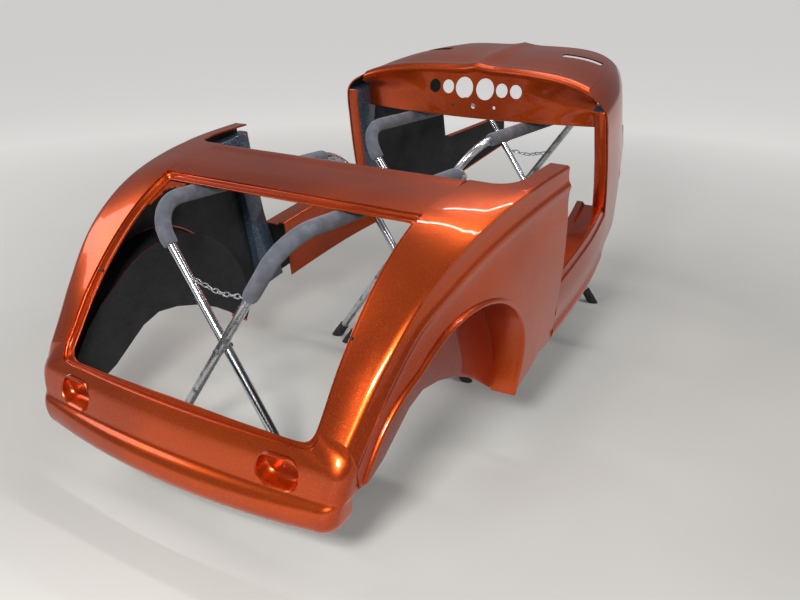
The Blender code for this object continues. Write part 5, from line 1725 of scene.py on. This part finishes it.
@dataclass
class FoldingStand:
    """One folding stand: two inverted U frames crossed at pivot bolts, foam sleeves, boots and a chain."""

    label: str
    bench: Bench
    centre: tuple[float, float]
    yaw: float
    half_top: float
    half_foot: float
    # length of each sleeve past the bar's rear and fore ends
    pad_reach: dict[Leg, tuple[float, float]]
    chain_end: End
    seed: int
    # top of its foam, from its own foam node
    foam_top: float
    length: float = 1.050
    tube: float = 0.016
    tube_points: int = 24
    pad: float = 0.029
    bend: float = 0.130
    bend_points: int = 25
    # foam: pitch and count of its points, and what its waves, ends and butt joint take off its radius
    foam_pitch: float = 0.007
    foam_points: int = 36
    foam_wave: float = 0.0012
    foam_end: float = 0.003
    foam_butt: float = 0.0035
    butt_half: float = 0.010
    butt_share: float = 0.52
    foot_length: float = 0.045
    foot_level: float = 0.024
    # distance down the boot, radius
    boot_rings: Section = (
        (0.0, 0.0185), (0.001, 0.0205), (0.004, 0.0215), (0.007, 0.0205), (0.010, 0.0200), (0.020, 0.0200),
        (0.024, 0.0215), (0.028, 0.0205), (0.034, 0.0212), (0.040, 0.0220), (0.090, 0.0220))
    # bolt, washer and head from a leg outward: offset, radius, and 1 where it is hexagonal
    bolt_end: Section = (
        (0.0, 0.0050, 0), (0.0, 0.0100, 0), (0.0012, 0.0100, 0), (0.0012, 0.0088, 1),
        (0.0052, 0.0088, 1), (0.0060, 0.0070, 1),
    )
    chain_share: float = 0.75
    chain_radius: float = 0.006
    chain_sag: float = 0.012

    @property
    def height(self) -> float:
        """Height of the bars, a sleeve's radius below the top of the foam."""
        return self.foam_top - self.pad

    @property
    def place(self) -> Matrix:
        """From the stand's own frame to the row frame."""
        spot = Matrix.Translation((self.centre[0], self.centre[1], 0))
        return spot @ Matrix.Rotation(math.radians(self.yaw), 4, "Z")

    def frame_path(self, leg: Leg) -> list[Vector]:
        """Foot, leg, bend, bar, bend, leg, foot of one frame.

        Args:
            leg: Which frame.
        Returns:
            The path, rear to fore.
        """
        top_x, foot_x = leg.value * self.half_top, -leg.value * self.half_foot
        half_length = self.length / 2 + leg.value * (self.tube + GAP)
        lean = Vector((foot_x - top_x, 0, -self.height)).normalized()
        corner = Vector((top_x, -half_length, self.height))
        near = [corner + lean * ((self.height - self.foot_level) / -lean.z)]
        for turn in spread(0, 90, self.bend_points):
            angle = math.radians(turn)
            near.append(corner + lean * self.bend * (1 - math.sin(angle))
                        + Vector((0, self.bend * (1 - math.cos(angle)), 0)))
        return near + [Vector((p.x, -p.y, p.z)) for p in near[::-1]]

    def stretch(self, path: list[Vector], start: float, stop: float, pitch: float) -> list[Vector]:
        """Evenly spaced points of a path between two lengths along it.

        Args:
            path: The path.
            start: Length at which the stretch starts.
            stop: Length at which it ends.
            pitch: Wanted distance between points.
        Returns:
            The stretch's points.
        """
        ends = np.cumsum([0.0] + [(b - a).length for a, b in zip(path, path[1:])])
        places = np.array(spread(start, min(stop, ends[-1]), max(2, math.ceil((stop - start) / pitch) + 1)))
        columns = [np.interp(places, ends, [p[k] for p in path]) for k in range(3)]
        return [Vector(p) for p in zip(*columns)]

    def build(self) -> None:
        """Make the whole stand."""
        for leg in Leg:
            path = self.frame_path(leg)
            finish = BRIGHT_TUBE if leg is Leg.A else WORN_TUBE
            loops = tube_loops(path, lambda i, a: self.tube, self.tube_points)
            self.bench.piece(f"{self.label}_tube_{leg.label}", rings(loops), (finish,),
                             [f"{self.label}_frame_{leg.label}"], "stand_tube", place=self.place)
            self.sleeve(leg, path)
            lean = (path[0] - path[1]).normalized()
            for end, spot in zip(End, (path[0], path[-1])):
                self.boot(f"{self.label}_foot_{leg.label}_{end.label}", spot, lean)
        cross = self.height * self.half_foot / (self.half_top + self.half_foot)
        for end in End:
            self.pivot(end, end.value * self.length / 2, cross)
        self.chain()

    def sleeve(self, leg: Leg, path: list[Vector]) -> None:
        """Foam sleeve round the bar and some of the tube past its ends.

        Args:
            leg: Which frame.
            path: The frame's path.
        """
        lengths = [(b - a).length for a, b in zip(path, path[1:])]
        rear, fore = self.pad_reach[leg]
        bar = self.bend_points
        start, stop = sum(lengths[:bar]) - rear, sum(lengths[:bar + 1]) + fore
        line = self.stretch(path, start, stop, self.foam_pitch)
        random = np.random.default_rng(self.seed + ord(leg.label))
        # length over 2 pi, phase and turns round the tube of each wave
        waves = [(random.uniform(0.05, 0.16), random.uniform(0, 6.28), random.integers(1, 4))
                 for _ in range(6)]
        count = len(line)
        joint = start + (stop - start) * self.butt_share

        def outer(i: int, angle: float) -> float:
            """Radius of the foam's outside, with its waves, crushed ends and butt joint.

            Args:
                i: Which point of the line.
                angle: Angle round the line.
            Returns:
                The radius.
            """
            along = start + (stop - start) * i / (count - 1)
            lump = sum(math.sin(along / size + phase + turns * angle) for size, phase, turns in waves) / 6
            edge = min(i, count - 1 - i, 3) / 3
            butt = min(abs(along - joint) / self.butt_half, 1.0)
            return (self.pad - self.foam_wave * (2 - lump) - self.foam_end * (1 - math.sqrt(edge))
                    - self.foam_butt * (1 - butt))

        bore = tube_loops(line, lambda i, a: self.tube + GAP, self.foam_points)
        form = rings(tube_loops(line, outer, self.foam_points) + bore[::-1], closed=True)
        obj = self.bench.piece(f"{self.label}_foam_{leg.label}", form, (FOAM,),
                               [f"{self.label}_pad_{leg.label}"], "foam_pad", place=self.place, smooth=50.0)

    def boot(self, node: str, spot: Vector, lean: Vector) -> None:
        """Ribbed rubber boot round a leg's end, cut flat at the floor.

        Args:
            node: The node that it stands for.
            spot: The leg's end.
            lean: Direction down the leg.
        """
        top = spot - lean * self.foot_length
        line = [top + lean * along for along, _ in self.boot_rings]
        loops = tube_loops(line, lambda i, a: self.boot_rings[i][1], self.tube_points)
        bore = tube_loops([top, spot + lean * GAP], lambda i, a: self.tube + GAP, self.tube_points)
        mesh = solid(rings([bore[1], bore[0]] + loops))
        work = bmesh.new()
        work.from_mesh(mesh)
        cut = bmesh.ops.bisect_plane(work, geom=work.verts[:] + work.edges[:] + work.faces[:],
                                     plane_co=(0, 0, 0), plane_no=(0, 0, -1), clear_outer=True)
        edges = [item for item in cut["geom_cut"] if isinstance(item, bmesh.types.BMEdge)]
        bmesh.ops.contextual_create(work, geom=edges)
        bmesh.ops.recalc_face_normals(work, faces=work.faces)
        work.to_mesh(mesh)
        work.free()
        self.bench.piece(node + "_rubber", mesh, (RUBBER,), [node], "foot_boot", place=self.place)

    def pivot(self, end: End, y: float, z: float) -> None:
        """Pivot bolt with a hexagon head, washers and a nut.

        Args:
            end: Which end of the stand.
            y: The bolt's middle along the stand.
            z: Its height.
        """
        seat = 2 * self.tube + 3 * GAP
        fore = [(seat + offset, radius, hexagonal) for offset, radius, hexagonal in self.bolt_end]
        steps = [(-offset, radius, hexagonal) for offset, radius, hexagonal in fore[::-1]] + fore
        sixth = math.pi / 3
        loops = []
        for offset, radius, hexagonal in steps:
            loop = []
            for k in range(self.tube_points):
                angle = 2 * math.pi * k / self.tube_points
                flat = math.cos(sixth / 2) / math.cos(angle % sixth - sixth / 2) if hexagonal else 1.0
                reach = radius * flat
                loop.append((reach * math.cos(angle), y + offset, z + reach * math.sin(angle)))
            loops.append(loop)
        self.bench.piece(f"{self.label}_pivot_{end.label}", rings(loops), (ZINC,),
                         [f"{self.label}_bolt_{end.label}"], "bolt_steel", place=self.place, smooth=25.0)

    def chain_line(self) -> list[Vector]:
        """Slack line of the chain between the two legs at one end of the stand.

        Returns:
            The line's points.
        """
        step = self.tube + GAP
        half, sign = self.length / 2, self.chain_end.value
        ends = [sign * (half - step), sign * (half + step)]
        slope = (self.half_top + self.half_foot) / self.height
        level = self.height * self.chain_share
        reach = self.half_top - (self.height - level) * slope - self.tube * math.sqrt(1 + slope**2)
        reach -= self.chain_radius * slope + GAP
        line = []
        for share in spread(0, 1, 25):
            sag = self.chain_sag * (4 * share * (1 - share)) ** 2
            line.append(Vector((reach * (2 * share - 1), ends[0] + (ends[1] - ends[0]) * share, level - sag)))
        return line

    def chain(self) -> None:
        """Twisted-link chain along the slack line."""
        mesh = ChainLinks().along(self.chain_line(), ZINC)
        self.bench.piece(f"{self.label}_chain_links", mesh, (ZINC,), [f"{self.label}_chain"], "chain_steel",
                         place=self.place, smooth=60.0)


@dataclass(frozen=True)
class ChainLinks:
    """Welded twisted-link chain, laid along a line by Geometry Nodes."""

    wire: float = 0.0026
    wire_points: int = 8
    length: float = 0.0330
    width: float = 0.0190
    twist: float = math.radians(38)
    # wire thicknesses by which links lie inside each other, and turn from one link to the next
    lap: float = 2.2
    turn: float = math.radians(97.6)

    def link(self) -> bpy.types.Object:
        """One link along X, twisted end to end.

        Returns:
            The link.
        """
        half, wide = self.length / 2 - self.wire, self.width / 2 - self.wire
        path = []
        for x, y in arc((half - wide, 0), wide, -90, 90, 8) + arc((wide - half, 0), wide, 90, 270, 8):
            turn = self.twist * x / self.length
            path.append(Vector((x, y * math.cos(turn), y * math.sin(turn))))
        loops, count = [], len(path)
        angles = [2 * math.pi * k / self.wire_points for k in range(self.wire_points)]
        for i, point in enumerate(path):
            run = (path[(i + 1) % count] - path[i - 1]).normalized()
            side = Vector((-run.y, run.x, 0)).normalized()
            up = run.cross(side)
            loops.append([point + (side * math.cos(a) + up * math.sin(a)) * self.wire for a in angles])
        obj = bpy.data.objects.new("chain_link", solid(rings(loops, closed=True)))
        bpy.context.scene.collection.objects.link(obj)
        return obj

    def along(self, line: list[Vector], finish: Finish) -> bpy.types.Mesh:
        """Lay links along a line, each turned a quarter from the last.

        Args:
            line: The line's points.
            finish: The links' finish.
        Returns:
            The chain's mesh, in the line's own frame.
        """
        link = self.link()
        curve = bpy.data.meshes.new("chain_line")
        curve.from_pydata([tuple(p) for p in line], [(i, i + 1) for i in range(len(line) - 1)], [])
        host = bpy.data.objects.new("chain_host", curve)
        bpy.context.scene.collection.objects.link(host)
        tree = bpy.data.node_groups.new("chain_links", "GeometryNodeTree")
        face = tree.interface
        face.new_socket("Geometry", in_out="INPUT", socket_type="NodeSocketGeometry")
        link_socket = face.new_socket("Link", in_out="INPUT", socket_type="NodeSocketObject")
        pitch_socket = face.new_socket("Pitch", in_out="INPUT", socket_type="NodeSocketFloat")
        turn_socket = face.new_socket("Turn", in_out="INPUT", socket_type="NodeSocketFloat")
        face.new_socket("Geometry", in_out="OUTPUT", socket_type="NodeSocketGeometry")
        entry = add(tree, "NodeGroupInput")
        run = add(tree, "GeometryNodeMeshToCurve", {"Mesh": entry.outputs["Geometry"]})
        spaced = add(tree, "GeometryNodeResampleCurve",
                     {"Curve": run.outputs[0], "Length": entry.outputs["Pitch"]}, mode="LENGTH")
        tangent = add(tree, "GeometryNodeInputTangent")
        facing = add(tree, "FunctionNodeAlignRotationToVector", {"Vector": tangent.outputs[0]}, axis="X")
        index = add(tree, "GeometryNodeInputIndex")
        angle = add(tree, "ShaderNodeMath", {0: index.outputs[0], 1: entry.outputs["Turn"]},
                    operation="MULTIPLY")
        spin = add(tree, "FunctionNodeAxisAngleToRotation",
                   {"Axis": (1.0, 0.0, 0.0), "Angle": angle.outputs[0]})
        turned = add(tree, "FunctionNodeRotateRotation",
                     {"Rotation": facing.outputs[0], "Rotate By": spin.outputs[0]}, rotation_space="LOCAL")
        shape = add(tree, "GeometryNodeObjectInfo", {"Object": entry.outputs["Link"]})
        laid = add(tree, "GeometryNodeInstanceOnPoints",
                   {"Points": spaced.outputs[0], "Instance": shape.outputs["Geometry"],
                                                          "Rotation": turned.outputs[0]})
        real = add(tree, "GeometryNodeRealizeInstances", {"Geometry": laid.outputs[0]})
        dressed = add(tree, "GeometryNodeSetMaterial",
                      {"Geometry": real.outputs[0], "Material": finish.material()})
        add(tree, "NodeGroupOutput", {"Geometry": dressed.outputs[0]})
        modifier = host.modifiers.new("links", "NODES")
        modifier.node_group = tree
        modifier[link_socket.identifier] = link
        modifier[pitch_socket.identifier] = self.length - self.lap * self.wire
        modifier[turn_socket.identifier] = self.turn
        bpy.context.view_layer.update()
        shaped = host.evaluated_get(bpy.context.evaluated_depsgraph_get())
        mesh = bpy.data.meshes.new_from_object(shaped)
        for obj in (host, link):
            bpy.data.objects.remove(obj, do_unlink=True)
        return mesh


# Studio


@dataclass(frozen=True)
class Softbox:
    """A lamp with a rectangular face."""

    name: str
    place: Place
    aim: Place
    size: tuple[float, float]
    watts: float

    def hang(self) -> None:
        """Hang the lamp in its place."""
        light = bpy.data.lights.new(self.name, "AREA")
        light.shape = "RECTANGLE"
        light.size, light.size_y = self.size
        light.energy = self.watts
        lamp = bpy.data.objects.new(self.name, light)
        lamp.location = self.place
        lamp.rotation_euler = (Vector(self.aim) - Vector(self.place)).to_track_quat("-Z", "Y").to_euler()
        bpy.context.scene.collection.objects.link(lamp)


@dataclass(frozen=True)
class Studio:
    """Pale floor, soft lamps and the camera at the photograph's angle."""

    position: Place = (1.75, -2.8628, 1.62)
    tilt: float = math.radians(68.37)
    pan: float = math.radians(32.80)
    lens: float = 38.25
    sensor: float = 36.0
    ambient: float = 0.25
    air: str = "#F2F4F8"
    floor_half: float = 400.0
    lamps: tuple[Softbox, ...] = (
        Softbox("flash", (1.3, -3.6, 2.3), (0.0, -0.6, 0.6), (0.7, 0.5), 122.0),
        Softbox("tube_rear", (0.2, 0.2, 3.6), (0.2, 0.2, 0.0), (2.6, 0.10), 26.0),
        Softbox("tube_middle", (0.2, 1.6, 3.6), (0.2, 1.6, 0.0), (2.6, 0.10), 26.0),
        Softbox("tube_side", (2.6, 0.6, 3.2), (0.5, 0.0, 0.5), (0.10, 2.6), 20.0),
        Softbox("soft", (-3.6, -2.2, 3.4), (0.0, -0.4, 0.4), (2.4, 2.4), 70.0),
    )

    def build(self) -> None:
        """Make the floor, the world, the lamps and the camera."""
        bpy.context.scene.view_settings.view_transform = "Standard"
        self.floor()
        self.world()
        for lamp in self.lamps:
            lamp.hang()
        self.camera()

    def floor(self) -> None:
        """Lay the floor, wide enough to fill the picture."""
        size = self.floor_half
        plane = bpy.data.meshes.new("floor")
        plane.from_pydata(
            [(-size, -size, 0), (size, -size, 0), (size, size, 0), (-size, size, 0)], [], [(0, 1, 2, 3)])
        plane.materials.append(FLOOR.material())
        floor = bpy.data.objects.new("floor", plane)
        bpy.context.scene.collection.objects.link(floor)

    def world(self) -> None:
        """Even, dim, slightly cool light from all round."""
        world = bpy.data.worlds.new("studio")
        world.use_nodes = True
        bpy.context.scene.world = world
        tree = world.node_tree
        tree.nodes.clear()
        light = add(tree, "ShaderNodeBackground", {"Color": colour(self.air), "Strength": self.ambient})
        add(tree, "ShaderNodeOutputWorld", {"Surface": light.outputs[0]})

    def camera(self) -> None:
        """Set up the camera."""
        lens = bpy.data.cameras.new("camera")
        lens.lens = self.lens
        lens.sensor_width = self.sensor
        camera = bpy.data.objects.new("camera", lens)
        camera.location = self.position
        camera.rotation_euler = (self.tilt, 0.0, self.pan)
        bpy.context.scene.collection.objects.link(camera)
        bpy.context.scene.camera = camera


def main() -> None:
    """Build the shell, the stands and the studio, and report each piece."""
    logging.basicConfig(level=logging.INFO, format="%(name)s %(message)s")
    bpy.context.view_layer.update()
    shape = ShellShape()
    bench = Bench(shape.place)
    rear = FoldingStand(
        "rear", bench, centre=(-0.075, -0.544), yaw=-1.5, half_top=0.306, half_foot=0.325,
        pad_reach={Leg.A: (0.225, 0.010), Leg.B: (0.340, 0.010)}, chain_end=End.REAR, seed=11,
        foam_top=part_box("rear_pad_a")[1].z)
    front = FoldingStand(
        "front", bench, centre=(-0.045, 0.581), yaw=-1.0, half_top=0.281, half_foot=0.420,
        pad_reach={Leg.A: (0.215, 0.010), Leg.B: (0.010, 0.010)}, chain_end=End.FORE, seed=23,
        foam_top=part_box("front_pad_a")[1].z)
    for assembly in (RearQuarters(shape, bench), DeckAndTail(shape, bench), DoorOpenings(shape, bench),
                     CowlAndDash(shape, bench), rear, front, Studio()):
        assembly.build()
    log.info("%d pieces", len(bench.made))


if __name__ == "__main__":
    main()
